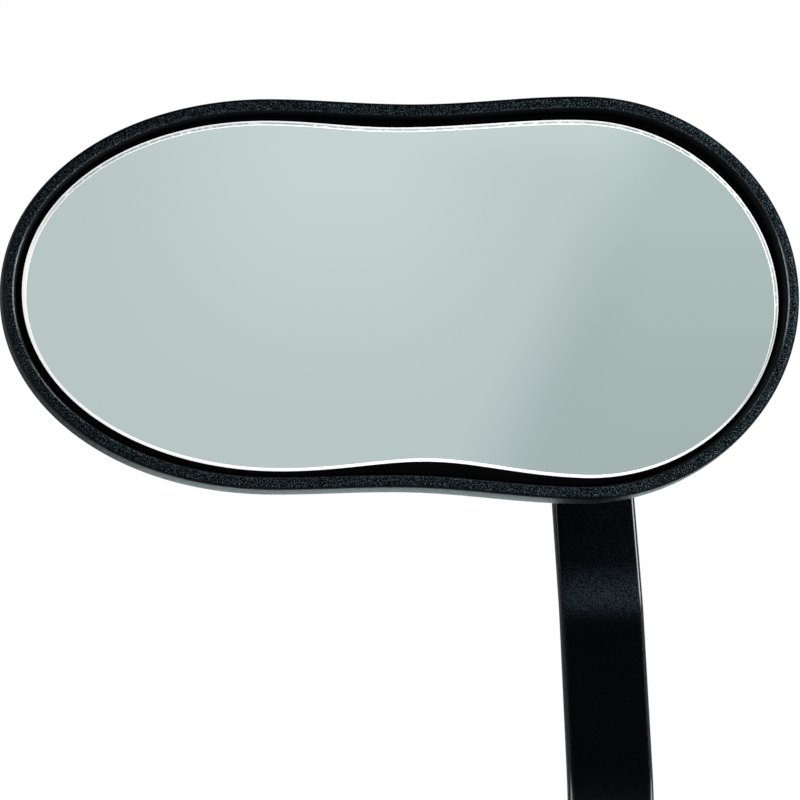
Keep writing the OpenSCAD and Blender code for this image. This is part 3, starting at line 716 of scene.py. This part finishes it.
def build_glass(head):
    """Glass: a pane of even thickness on a sphere, with a ground bevel round its front.

    Waves round its middle let its outline in and out, and the bevel is narrower along the bottom.
    """
    inset = head.rim_w + head.groove_draft + head.glass_gap
    middle = np.array([glass_middle(head), 0.0])

    def cut(drawn_in):
        points = outline(head, drawn_in, head.glass_dip, head.glass_reach)
        away = points - middle
        turn = np.arctan2(away[:, 1], away[:, 0])
        waves = sum(c * np.cos(k * turn) + s * np.sin(k * turn) for k, c, s in GLASS_WAVES)
        return points + away * (waves / np.linalg.norm(away, axis=1))[:, None]

    def at(points, top):
        return ring_at(points, top + sag(head, np.linalg.norm(points - middle, axis=1)))

    edge, inner = cut(inset), cut(inset + head.glass_bevel)
    way = outward(edge)
    wide = np.clip(0.9 + 1.4 * way[:, 1], 0, 1)
    inner = edge + (inner - edge) * (head.bevel_least + (1 - head.bevel_least) * wide)[:, None]
    front, back = head.glass_recess, head.glass_recess + head.glass_t
    bevel = np.linspace(0, 1, 6)[1:]
    rings = [at(middle + (inner - middle) * t, front) for t in np.linspace(0, 1, 14)]
    band = [0.0] * len(rings) + list(0.1 + 0.8 * bevel)
    rings += [at(inner + (edge - inner) * t, front + head.bevel_depth * t ** 1.15) for t in bevel]
    rings += [at(middle + (edge - middle) * t, back) for t in np.linspace(1, 0, 8)]
    band += [1.0] * (len(rings) - len(band))
    # Painted shade: share of the grey line on the ground edge, highest towards the upper right.
    shaded = np.clip(0.5 + 1.4 * (way @ SHADE_LINE_SIDE), 0, 1)
    values = {"band": np.array(band)[:, None], "shaded": shaded}
    return skin("glass", np.stack(rings), sharp=20.0, values=values)


def strap_line(arm):
    """Middle line of the strap in its side view: place, lean and length at many points.

    Straight runs meet in arcs of the bend radius, and both ends are drawn on by the strap's width.
    """
    rise = BALL[2] - PIVOT[2]
    leans = np.array([0.0, arm.lower_slope, arm.upper_slope, 0.0])
    lower = arm.lower_run * math.tan(arm.lower_slope)
    upper = arm.upper_run * math.tan(arm.upper_slope)
    corners = np.array([
        [0.0, 0.0], [0.0, arm.pad_run], [lower, arm.pad_run + arm.lower_run],
        [lower + upper, arm.pad_run + arm.lower_run + arm.upper_run], [lower + upper, rise]]) + PIVOT[1:]
    places, turns = [corners[:1] - [[0.0, arm.strap_w]]], [np.zeros(1)]
    for i in (1, 2, 3):
        turn = leans[i] - leans[i - 1]
        side = np.sign(turn)
        take = arm.bend_r * math.tan(abs(turn) / 2)
        s, c = math.sin(leans[i - 1]), math.cos(leans[i - 1])
        centre = corners[i] - take * np.array([s, c]) + side * arm.bend_r * np.array([c, -s])
        lean = leans[i - 1] + turn * np.linspace(0, 1, 25)
        places.append(centre - side * arm.bend_r * np.stack([np.cos(lean), -np.sin(lean)], 1))
        turns.append(lean)
    places.append(corners[4:] + [[0.0, arm.strap_w]])
    turns.append(np.zeros(1))
    place, lean = np.concatenate(places), np.concatenate(turns)
    steps = np.linalg.norm(np.diff(place, axis=0), axis=1)
    run = np.concatenate([[0.0], np.cumsum(steps)]) - arm.strap_w
    return place, lean, run


def build_arm(arm):
    """Arm: rings of a stadium, drawn in step by step through the strap's thickness, on its bent line.

    A ring drawn in by d lies at half thickness t/2 - r + sqrt(r^2 - (r - d)^2), rounding every edge by r.
    """
    place, lean, run = strap_line(arm)
    far = run[-1] - arm.strap_w
    half, edge = arm.strap_w / 2, arm.strap_edge
    turn = np.linspace(0, math.pi, 41)
    side = np.linspace(0, far, 240)[1:-1]
    flat = np.ones(len(side))
    drop = edge * (1 - np.cos(np.linspace(0, math.pi / 2, 7)))
    insets = np.concatenate([drop, [0.3 * half, 0.6 * half, half]])
    lift = arm.strap_t / 2 - edge + np.sqrt(np.maximum(edge ** 2 - np.maximum(edge - insets, 0) ** 2, 0))
    burnish = np.interp(insets, [0.14 * edge, 0.5 * edge, edge], [0.0, 1.0, 0.0])
    # The bend attribute is a painted highlight: it peaks a little above the bend's middle, fades slowly upwards
    # and fast downwards, and keeps a least level along the upper slope.
    highlight_centre = run[len(run) // 2] + HIGHLIGHT_SHIFT
    rings, bend = [], []
    for inset, w in zip([*insets[::-1], *insets], [*-lift[::-1], *lift]):
        r = half - inset
        along = np.concatenate([far + r * np.sin(turn), side[::-1], -r * np.sin(turn), side])
        across = r * np.concatenate([np.cos(turn), -flat, -np.cos(turn), flat])
        y, z, tilt = (np.interp(along, run, line) for line in (*place.T, lean))
        rings.append(np.stack([across, y + w * np.cos(tilt), z - w * np.sin(tilt)], 1))
        above = along > highlight_centre
        spread = np.where(above, HIGHLIGHT_ABOVE, HIGHLIGHT_BELOW)
        bend.append(np.maximum(np.exp(-((along - highlight_centre) / spread) ** 2), HIGHLIGHT_REST * above))
    values = {"bend": np.stack(bend), "burnish": np.concatenate([burnish[::-1], burnish])[:, None]}
    piece = skin("strap_arm", np.stack(rings), sharp=50.0, values=values)
    for centre in (PIVOT, np.array([0.0, place[-1, 0], BALL[2]])):
        pierce(piece, centre, arm.eye_r, arm.strap_t)
    return piece


def spun(rows, centre, count=ROUND, start=0.0):
    """Rings turned about an axis along Y through a centre.

    Each row is a radius and a height, plain or by angle.
    """
    turn = full_turn(count) + start
    rings = []
    for radius, height in rows:
        radius, height = np.broadcast_to(radius, count), np.broadcast_to(height, count)
        rings.append(np.stack([radius * np.cos(turn), height, -radius * np.sin(turn)], 1))
    return np.stack(rings) + np.array([centre[0], 0.0, centre[2]])


def pierce(piece, centre, radius, depth):
    """Cuts a round hole along Y through a piece, turned so that no corner meets an edge there."""
    low, high = centre[1] - depth, centre[1] + depth
    rows = [(0, low), (radius, low), (radius, high), (0, high)]
    cutter = skin("cutter", spun(rows, centre, start=math.pi / ROUND))
    cut = piece.modifiers.new("eye", "BOOLEAN")
    cut.operation, cut.solver, cut.object = "DIFFERENCE", "EXACT", cutter
    graph = bpy.context.evaluated_depsgraph_get()
    mesh = bpy.data.meshes.new_from_object(piece.evaluated_get(graph))
    piece.modifiers.clear()
    old, piece.data = piece.data, mesh
    mesh.name = old.name
    bpy.data.meshes.remove(old)
    bpy.data.objects.remove(cutter)


def soften(corners, steps=6):
    """Closed profile with rounded corners: each arc touches both sides at fillet / tan(half the angle)."""
    places = np.array([corner[:2] for corner in corners], float)
    parts = []
    for k, (place, (_, _, fillet)) in enumerate(zip(places, corners)):
        if not fillet:
            parts.append(place[None])
            continue
        a, b = places[k - 1] - place, places[(k + 1) % len(places)] - place
        a, b = a / np.linalg.norm(a), b / np.linalg.norm(b)
        half = math.acos(np.clip(a @ b, -1, 1)) / 2
        centre = place + (a + b) / np.linalg.norm(a + b) * fillet / math.sin(half)
        u, v = place + a * fillet / math.tan(half) - centre, place + b * fillet / math.tan(half) - centre
        sweep, t = math.pi - 2 * half, np.linspace(0, 1, steps)[:, None]
        parts.append(centre + (np.sin((1 - t) * sweep) * u + np.sin(t * sweep) * v) / math.sin(sweep))
    return np.concatenate(parts)


def hexagon(across, turn):
    """Radius of a hexagon at an angle: half its width across flats over the cosine from the nearest flat."""
    return across / 2 / np.cos(np.mod(turn, math.pi / 3) - math.pi / 6)


def full_turn(count):
    """Angles of a full turn."""
    return np.linspace(0, 2 * math.pi, count, endpoint=False)


def chamfered(across, low, high):
    """Rows of a hexagon prism whose corners are turned off at 30 degrees: the lesser of hexagon and cone."""
    flats = hexagon(across, full_turn(ROUND))
    reach = np.linspace(0, 0.068 * across, 9)
    rows = [(np.minimum(flats, 0.47 * across + r * math.sqrt(3)), r) for r in reach]
    return [(radius, low + r) for radius, r in rows] + [(radius, high - r) for radius, r in rows[::-1]]


def thread(radius, pitch, low, high, count=ROUND):
    """Rows of a screw thread: the radius falls and rises once along each pitch, a turn later all round."""
    turn = full_turn(count) / (2 * math.pi)
    rows = []
    for height in np.arange(low, high, pitch / 8):
        wave = np.abs(2 * np.mod(height / pitch - turn, 1.0) - 1)
        fade = min(1.0, (high - height) / pitch)
        depth = 0.5 * (1 - np.clip(wave * 1.25, 0, 1)) + 0.25 * (1 - fade)
        rows.append((radius - pitch * depth, height))
    return rows


def rectangle(inner, outer, low, high, fillet):
    """Rounded section of a ring."""
    return soften([(inner, low, fillet), (outer, low, fillet), (outer, high, fillet), (inner, high, fillet)])


def tube(name, inner, outer, low, high, centre, fillet=0.00015):
    """Ring about Y with softened edges."""
    return skin(name, spun(rectangle(inner, outer, low, high, fillet), centre), loop=True)


def capped(rings):
    """Rings closed at both ends onto their middles."""
    ends = [np.broadcast_to(ring.mean(0), ring.shape)[None] for ring in (rings[0], rings[-1])]
    return np.concatenate([ends[0], rings, ends[1]])


def split_ring(name, inner, outer, low, high, centre, start):
    """Spring washer: a rounded section carried round the axis from one side of the cut to the other."""
    profile = rectangle(inner, outer, low, high, 0.0002)
    gap = SPLIT_W / (inner + outer)
    turn = np.linspace(gap, 2 * math.pi - gap, 97) + start
    return skin(name, capped(np.stack([
        centre[0] + profile[None, :, 0] * np.cos(turn)[:, None],
        np.broadcast_to(profile[None, :, 1], (len(turn), len(profile))),
        centre[2] - profile[None, :, 0] * np.sin(turn)[:, None]], -1)))


def nut_bore(r, low, high):
    """Rows that close a nut: from its far face down a plain bore to its countersunk near face."""
    return [(r + NUT_GAP, high), (r + NUT_GAP, low + CHAMFER)]


def friction_stack(h, arm, joint, disc_name, centre, front):
    """Friction disc before the arm's front face and spring washer behind the arm. Gives the nut's seat."""
    bore, back = h.thread_r + h.clearance, front + arm.strap_t
    seat = back + h.spring_washer_t
    disc = tube(disc_name, bore, h.disc_r, front - h.disc_t, front, centre)
    stand_for(disc, joint + "_friction_disc")
    spring = split_ring(joint + "_spring_piece", bore, h.spring_washer_r, back, seat, centre, h.split_turn)
    stand_for(spring, joint + "_spring_washer")
    return seat


def build_pivot(hardware, arm):
    """Pivot: washer, friction stack, lock nut with its nylon ring, and button bolt."""
    h, r, lug = hardware, hardware.thread_r, hardware.lug_t / 2
    head_seat = -lug - h.washer_t
    washer = tube("pivot_washer_piece", r + h.clearance, h.washer_r, head_seat, -lug, PIVOT)
    stand_for(washer, "pivot_washer")
    seat = friction_stack(h, arm, "pivot", "pivot_friction_disc_piece", PIVOT, lug + h.disc_t)
    top = seat + h.lock_nut_h
    shoulder, collar = top - h.lock_collar_h, h.nut_af / 2 - NUT_STEP
    round_off = np.linspace(0, math.pi / 2, 6)
    rows = [(r + CHAMFER, seat)] + chamfered(h.nut_af, seat, shoulder)
    rows += [(collar - 0.0001, shoulder), (collar - 0.0001, top - 0.0006)]
    rows += [(collar - 0.0007 * (1 - math.cos(a)), top - 0.0006 * (1 - math.sin(a))) for a in round_off]
    rows += [(r + 0.0007, top), (r + 0.0007, top - 0.0004)] + nut_bore(r, seat, top - 0.0005)
    stand_for(skin("pivot_nut_piece", spun(rows, PIVOT), loop=True), "pivot_nut")
    insert = tube("lock_ring", r + NUT_GAP, r + 0.0012, top - 0.0004, top - 0.00005, PIVOT, 0.0001)
    insert.data.materials.append(finish_of("nylon"))
    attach(insert, BODY_OF["pivot_nut"])
    stand_for(button_bolt(h, head_seat, top + h.thread_out), "pivot_bolt")


def key_socket(key, floor):
    """Rows of a hexagon socket's drilled floor and of the foot of its walls."""
    return [(0.0, floor + 0.0005), (key * 0.96, floor), (key, floor)]


def button_bolt(h, seat, end):
    """Button bolt: a spherical head with a hexagon socket, a plain shank and a threaded end."""
    key, lip = hexagon(h.key_af, full_turn(ROUND)), 0.00012
    crown = (h.bolt_head_r ** 2 + h.bolt_head_h ** 2) / (2 * h.bolt_head_h)
    middle = seat - h.bolt_head_h + crown

    def on_dome(radius):
        return middle - np.sqrt(crown ** 2 - radius ** 2)

    rows = key_socket(key, seat - h.bolt_head_h + h.key_depth)
    rows += [(key, on_dome(key) + lip), (key + lip, on_dome(key + lip))]
    rows += [(r, on_dome(r)) for r in np.linspace(h.key_af * 0.62, h.bolt_head_r - 0.00015, 14)]
    rows += [(h.bolt_head_r - 0.0001, seat - 0.0001), (h.bolt_head_r - 0.0002, seat), (h.thread_r, seat)]
    rows += thread(h.thread_r, PITCH, end - BOLT_THREAD, end)
    rows += [(h.thread_r - THREAD_POINT, end), (0.0, end)]
    return skin("pivot_bolt_piece", spun(rows, PIVOT))


def build_ball_joint(hardware, arm):
    """Ball joint: the stud, its friction stack on the arm, its cap nut, and the ring on the shell's back."""
    h, r, y = hardware, hardware.thread_r, BALL[1]
    front = y + h.stud_reach
    back = front + arm.strap_t
    tip = back + h.spring_washer_t + h.cap_nut_hex + h.cap_nut_crown
    build_stud(h, y, front - h.disc_t, back, tip)
    seat = friction_stack(h, arm, "stud", "stud_disc_piece", BALL, front)
    crown, shoulder = h.nut_af / 2 - NUT_STEP, seat + h.cap_nut_hex
    rows = [(r + CHAMFER, seat)] + chamfered(h.nut_af, seat, shoulder) + [(crown, shoulder), (crown, tip)]
    rows += [(crown * math.cos(a), tip + crown * math.sin(a)) for a in np.linspace(0, math.pi / 2, 22)[1:]]
    rows += [(0.0, tip + r / 4)] + nut_bore(r, seat, tip + r / 4)
    rings = spun(rows, BALL)
    stand_for(skin("cap_nut_piece", np.concatenate([rings, rings[:1]])), "stud_cap_nut")
    build_socket_ring(h, y)


def build_stud(h, y, collar, back, tip):
    """Stud: a ball that runs into its neck on a parabola, a hexagon collar, a plain shank and a thread."""
    r, under = h.thread_r, collar - h.collar_t
    foot = math.pi - math.asin(h.neck_r / h.ball_r) - 0.1
    rows = [(h.ball_r * math.sin(a), y - h.ball_r * math.cos(a)) for a in np.linspace(0, foot, 40)]
    (wide, low), lift = rows[-1], h.ball_r * 0.16
    steps = np.linspace(0, 1, 7)[1:]
    rows += [(h.neck_r + (wide - h.neck_r) * (1 - t) ** 2, low + lift * t) for t in steps]
    rows += [(h.neck_r, under - CHAMFER), (h.neck_r + CHAMFER, under)]
    rows += chamfered(h.collar_af, under, collar) + [(r, collar), (r, back)]
    rows += thread(r, PITCH, back, tip - 0.0002) + [(r - THREAD_POINT, tip), (0.0, tip)]
    stand_for(skin("ball_stud_piece", spun(rows, BALL)), "ball_stud")


def build_socket_ring(h, y):
    """Socket ring: spigot, sloping flange and open mouth, with a spherical seat round the ball."""
    socket, spigot = h.socket_r, h.socket_r + h.socket_wall
    flange, rear, slope = spigot + h.flange_w, h.seat_back + h.flange_h, h.flange_h / 2
    turn = np.linspace(h.mouth_angle, math.pi / 2, 15)
    seat = socket * np.stack([np.sin(turn), np.cos(turn)], 1)
    mouth, step = rear * math.tan(h.mouth_angle), 0.0004
    rim = mouth + 0.0012
    profile = np.concatenate([
        soften([(socket + h.cup_step, -h.spigot_front, 0.0), (spigot, -h.spigot_front, 0.0003),
                (spigot, h.seat_back, 0.0), (flange, h.seat_back, 0.0003), (flange, rear - slope, 0.0006),
                (flange - slope, rear, 0.0008), (rim, rear, 0.0), (rim, rear - step, 0.0),
                (mouth, rear - step, 0.0002), (*seat[0], 0.0)]),
        seat[1:], [[socket + h.cup_step, 0.0]]])
    stand_for(skin("socket_ring_piece", spun(profile + [0.0, y], BALL, 128), loop=True), "socket_ring")


def build_pinch(hardware):
    """Pinch screw with a knurled head and a hexagon socket, and the nut in the ear's pocket."""
    h, count = hardware, 192
    centre = np.array([0.0, 0.0, -h.pinch_drop])
    turn = full_turn(count)
    key, head, r, face = hexagon(h.key_af, turn), h.pinch_head_r, h.pinch_r, h.ear_face
    low, neck = -face - h.pinch_head_h, head - 0.0002
    knurl = head - 0.00018 * (0.5 + 0.5 * np.cos(48 * turn))
    rows = key_socket(key, low + h.key_depth)
    rows += [(key, low + 0.0002), (key + 0.0002, low), (head - 0.0007, low), (head - 0.0003, low + 0.00015)]
    rows += [(neck, low + 0.0006), (knurl, low + 0.0008), (knurl, -face - 0.0010)]
    rows += [(neck, -face - 0.0008), (neck, -face - 0.0002), (head - 0.0004, -face), (r, -face)]
    rows += thread(r, PINCH_PITCH, -face + CHAMFER, face, count) + [(r - 0.0005, face), (0.0, face)]
    stand_for(skin("pinch_screw_piece", spun(rows, centre, count)), "pinch_screw")
    near = face - h.pinch_nut_t
    rows = [(r + CHAMFER, near)] + chamfered(h.pinch_nut_af, near, face)
    rows += [(r + CHAMFER, face)] + nut_bore(r, near, face - CHAMFER)
    stand_for(skin("pinch_nut_piece", spun(rows, centre), loop=True), "pinch_nut")


def build_shim(hardware):
    """Shim: a rounded, ribbed section bent round the bar from one side of the slit to the other."""
    h = hardware
    inner, outer, half = h.bar_d / 2, h.bar_d / 2 + h.shim_wall, h.clamp_w / 2
    gap = math.asin(h.slit / 2 / inner)
    turn = np.linspace(gap, 2 * math.pi - gap, 361)
    across = np.linspace(-half, half, 73)
    wave = 0.5 - 0.5 * np.cos(2 * math.pi * across / RIB_PITCH)
    rib = RIB_HEIGHT * wave * (np.abs(across) < half - 0.0010)
    edge = SHIM_EDGE * np.clip((np.abs(across) - half + SHIM_EDGE) / SHIM_EDGE, 0, 1) ** 2
    section = np.concatenate([
        np.stack([across, inner + rib + edge], 1), np.stack([across[::-1], outer - edge[::-1]], 1)])
    rings = np.stack([
        np.broadcast_to(section[None, :, 0], (len(turn), len(section))),
        section[None, :, 1] * np.sin(turn)[:, None],
        -section[None, :, 1] * np.cos(turn)[:, None]], -1)
    stand_for(skin("bar_shim_piece", capped(rings)), "bar_shim")


def build_clamp(hardware):
    """Clamp: the node's own solid, merged and cleaned of needless edges, with its corners rounded."""
    mesh = frame["nodes"]["bar_clamp"].data.copy()
    shape = bmesh.new()
    shape.from_mesh(mesh)
    bmesh.ops.remove_doubles(shape, verts=shape.verts, dist=1e-6)
    bmesh.ops.dissolve_limit(
        shape, angle_limit=math.radians(0.6), verts=shape.verts, edges=shape.edges)
    piece = link("bar_clamp_piece", mesh, shape, 35.0)
    bevel = piece.modifiers.new("rounded corners", "BEVEL")
    bevel.width, bevel.segments, bevel.limit_method = hardware.clamp_round, 3, "ANGLE"
    bevel.angle_limit = math.radians(40.0)
    bevel.harden_normals = True
    stand_for(piece, "bar_clamp")


def paint_nodes(*names):
    """Gives CAD nodes that stay in view their finish. The plate behind the glass is a duller black."""
    for name in names:
        mesh = frame["nodes"][name].data
        mesh.materials.clear()
        mesh.materials.append(finish_of("plate_black" if name == "backing_plate" else SLOT_OF[name]))


class MIRROR_OT_shell(bpy.types.Operator):
    """Builds the moulded shell"""

    bl_idname = "mirror.shell"
    bl_label = "Shell"

    def execute(self, context):
        stand_for(build_shell(context.scene.mirror_head), "housing")
        return {"FINISHED"}


class MIRROR_OT_glass(bpy.types.Operator):
    """Builds the convex glass"""

    bl_idname = "mirror.glass"
    bl_label = "Glass"

    def execute(self, context):
        stand_for(build_glass(context.scene.mirror_head), "mirror_glass")
        return {"FINISHED"}


class MIRROR_OT_arm(bpy.types.Operator):
    """Builds the bent strap"""

    bl_idname = "mirror.arm"
    bl_label = "Arm"

    def execute(self, context):
        stand_for(build_arm(context.scene.mirror_arm), "arm")
        return {"FINISHED"}


class MIRROR_OT_pivot(bpy.types.Operator):
    """Builds the bolt, washers, disc and lock nut of the arm's pivot"""

    bl_idname = "mirror.pivot"
    bl_label = "Pivot"

    def execute(self, context):
        build_pivot(context.scene.mirror_hardware, context.scene.mirror_arm)
        return {"FINISHED"}


class MIRROR_OT_ball_joint(bpy.types.Operator):
    """Builds the ball stud, its nut and the socket ring"""

    bl_idname = "mirror.ball_joint"
    bl_label = "Ball joint"

    def execute(self, context):
        build_ball_joint(context.scene.mirror_hardware, context.scene.mirror_arm)
        return {"FINISHED"}


class MIRROR_OT_clamp(bpy.types.Operator):
    """Builds the bar clamp with its shim, screw and nut"""

    bl_idname = "mirror.clamp"
    bl_label = "Bar clamp"

    def execute(self, context):
        hardware = context.scene.mirror_hardware
        build_clamp(hardware)
        build_shim(hardware)
        build_pinch(hardware)
        return {"FINISHED"}


class MIRROR_OT_inner(bpy.types.Operator):
    """Finishes the nodes that keep their own shape"""

    bl_idname = "mirror.inner"
    bl_label = "Inner pieces"

    def execute(self, context):
        paint_nodes(*(n for n, o in frame["nodes"].items() if not o.hide_render))
        return {"FINISHED"}


class MIRROR_OT_stage(bpy.types.Operator):
    """Sets up camera, floor, surroundings and lamps"""

    bl_idname = "mirror.stage"
    bl_label = "Stage"

    def execute(self, context):
        stage, head = context.scene.mirror_stage, context.scene.mirror_head
        set_camera(stage, head)
        set_floor(stage)
        set_world(stage)
        set_lamps()
        context.scene.view_settings.view_transform = "Standard"
        return {"FINISHED"}


def set_camera(stage, head):
    """Camera that looks at a point of the lip's plane from the photograph's side."""
    camera = bpy.data.cameras.new("camera")
    thing = bpy.data.objects.new("camera", camera)
    bpy.context.scene.collection.objects.link(thing)
    turn, tilt = stage.azimuth, stage.elevation
    back = Vector((math.sin(turn) * math.cos(tilt), -math.cos(turn) * math.cos(tilt), math.sin(tilt)))
    aim = Vector((-head.crest_offset + stage.aim_x, RIM_Y, BALL[2] + stage.aim_z))
    thing.location = aim + back * stage.distance
    thing.rotation_mode = "QUATERNION"
    thing.rotation_quaternion = (-back).to_track_quat("-Z", "Y") @ Quaternion((0, 0, 1), stage.roll)
    camera.sensor_width = 36.0
    camera.lens = camera.sensor_width * stage.distance / (FRAME_PIXELS * stage.scale)
    camera.clip_start, camera.clip_end = 0.01, 100.0
    bpy.context.scene.camera = thing


def set_floor(stage):
    """Round pale floor under the clamp's ears that fades out into the white surroundings."""
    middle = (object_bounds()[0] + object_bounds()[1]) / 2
    turn = full_turn(64)
    disc = np.stack([np.cos(turn), np.sin(turn), np.zeros(64)], 1)
    under_clamp = np.array([middle.x, middle.y, FLOOR_Z - 0.0001])
    floor = skin("floor", np.stack([disc * r for r in (0.0, 0.3, 0.6, 0.9)]) + under_clamp)
    if floor.data.polygons[0].normal.z < 0:
        floor.data.flip_normals()
    floor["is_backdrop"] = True
    f, where = new_finish("pale_floor")
    centre = (middle.x, middle.y, FLOOR_Z)
    flat = f.add("ShaderNodeVectorMath", {"operation": "SUBTRACT"}, {0: where, 1: centre})
    away = f.add("ShaderNodeVectorMath", {"operation": "LENGTH"}, {0: flat}, output="Value")
    pale = f.add("ShaderNodeBsdfDiffuse", {}, {"Color": stage.floor})
    clear = f.add("ShaderNodeBsdfTransparent")
    under = f.add("ShaderNodeNewGeometry", output="Backfacing")
    hidden = away.step(0.14, 0.48).math("MAXIMUM", under)
    fade = f.add("ShaderNodeMixShader", {}, {0: hidden, 1: pale, 2: clear})
    f.add("ShaderNodeOutputMaterial", {}, {"Surface": fade})
    floor.data.materials.append(f.holder)


def set_world(stage):
    """White surroundings for the camera, shaded cards for mirrors and gloss, and an even soft light.

    The main card lies round the camera. It is brightest above the middle and darker to the right of a
    slanting line, and it goes on round the horizon, but for a dark patch behind the part and to its left.
    Two panels stand at the sides and two hang above them. A pale patch lies low behind the part.
    """
    world = bpy.data.worlds.new("surroundings")
    bpy.context.scene.world = world
    f = Finish(world)
    path = f.tree.nodes.new("ShaderNodeLightPath").outputs
    camera, glossy, through = (
        Value(f, path[name]) for name in ("Is Camera Ray", "Is Glossy Ray", "Is Transmission Ray"))
    parts = f.tree.nodes.new("ShaderNodeSeparateXYZ")
    f.feed(parts.inputs[0], f.add("ShaderNodeTexCoord", output="Generated"))
    x, y, z = (Value(f, parts.outputs[k]) for k in range(3))
    wide = x.math("ABSOLUTE")
    dimmed = 0.7 * x.step(0.06, 0.16) * x.fall(0.17, 0.22) * z.fall(0.14, 0.175)
    bright = x.step(-0.12, 0.03) * z.step(-0.02, 0.16) * (1.0 - dimmed)
    tone = f.mix(bright, (0.858, 0.857, 0.886), stage.card)
    tone = f.mix((x - z * 0.418).step(0.11, 0.17), tone, (0.775, 0.805, 0.80), "MULTIPLY")
    back = y.step(0.80, 0.93)
    left = (x - z * 0.5).fall(-0.03, 0.04)
    behind = back * z.step(-0.10, 0.0).math("MAXIMUM", left)
    near = (z - 0.07).math("ABSOLUTE").fall(0.17, 0.40) * (1.0 - behind * 0.9)
    flank = wide.step(0.76, 0.84) * z.math("ABSOLUTE").fall(0.20, 0.40) * y.fall(-0.12, 0.0)
    high = wide.step(0.60, 0.68) * z.step(0.50, 0.56) * y.step(-0.30, -0.18) * y.fall(0.0, 0.12)
    level = 0.10 + 0.75 * z.fall(-0.30, 0.0) * (1.0 - back * left)
    low = z.fall(-0.12, 0.05) * wide.fall(0.2, 0.5) * y.step(0.1, 0.6) * (1.0 - left)
    panel = flank * 9.0 + high * (4.0 + 10.0 * x.step(-0.3, 0.3))
    cool = panel + low * 2.4
    cards = f.mix(near, f.colour(level, level, level), tone)
    mirrored = f.mix(1.0, cards, f.colour(panel + low * 1.8, cool, cool), "ADD")
    shown = f.mix(glossy, [stage.soft] * 3, mirrored)
    shown = f.mix(camera.math("MAXIMUM", through), shown, stage.card)
    light = f.add("ShaderNodeBackground", {}, {"Color": shown, "Strength": 1.0})
    f.add("ShaderNodeOutputWorld", {}, {"Surface": light})
    world.cycles.sampling_method = "NONE"


def set_lamps():
    """Soft lamps for matte pieces, unseen in mirrors: high in front, at the right, low, and behind."""
    aim = Vector((-0.03, 0.02, 0.11))
    for name, place, across, down, power in LAMPS:
        lamp = bpy.data.lights.new(name, "AREA")
        lamp.shape, lamp.size, lamp.size_y, lamp.energy = "RECTANGLE", across, down, power
        thing = bpy.data.objects.new(name, lamp)
        bpy.context.scene.collection.objects.link(thing)
        thing.location = place
        thing.visible_camera = thing.visible_glossy = False
        thing.rotation_mode = "QUATERNION"
        thing.rotation_quaternion = (aim - Vector(place)).to_track_quat("-Z", "Y")


OPERATORS = (
    MIRROR_OT_shell, MIRROR_OT_glass, MIRROR_OT_arm, MIRROR_OT_pivot, MIRROR_OT_ball_joint, MIRROR_OT_clamp,
    MIRROR_OT_inner, MIRROR_OT_stage)


class MIRROR_PT_panel(bpy.types.Panel):
    """Lists the pieces of the mirror and their sizes"""

    bl_label = "Handlebar mirror"
    bl_idname = "MIRROR_PT_panel"
    bl_space_type = "VIEW_3D"
    bl_region_type = "UI"
    bl_category = "Mirror"

    def draw(self, context):
        for operator in OPERATORS:
            self.layout.operator(operator.bl_idname)
        for name, group in SETTINGS.items():
            box = self.layout.box()
            for key in group.__annotations__:
                box.prop(getattr(context.scene, name), key)


CLASSES = (*SETTINGS.values(), *OPERATORS, MIRROR_PT_panel)


def register():
    """Registers the classes and hangs the settings on the scene."""
    for item in CLASSES:
        bpy.utils.register_class(item)
    for name, group in SETTINGS.items():
        setattr(bpy.types.Scene, name, bpy.props.PointerProperty(type=group))


def unregister():
    """Takes the settings and the classes away again."""
    for name in SETTINGS:
        delattr(bpy.types.Scene, name)
    for item in reversed(CLASSES):
        bpy.utils.unregister_class(item)


def main():
    """Builds every piece in order."""
    register()
    for operator in OPERATORS:
        group, name = operator.bl_idname.split(".")
        getattr(getattr(bpy.ops, group), name)()


if __name__ == "__main__":
    main()
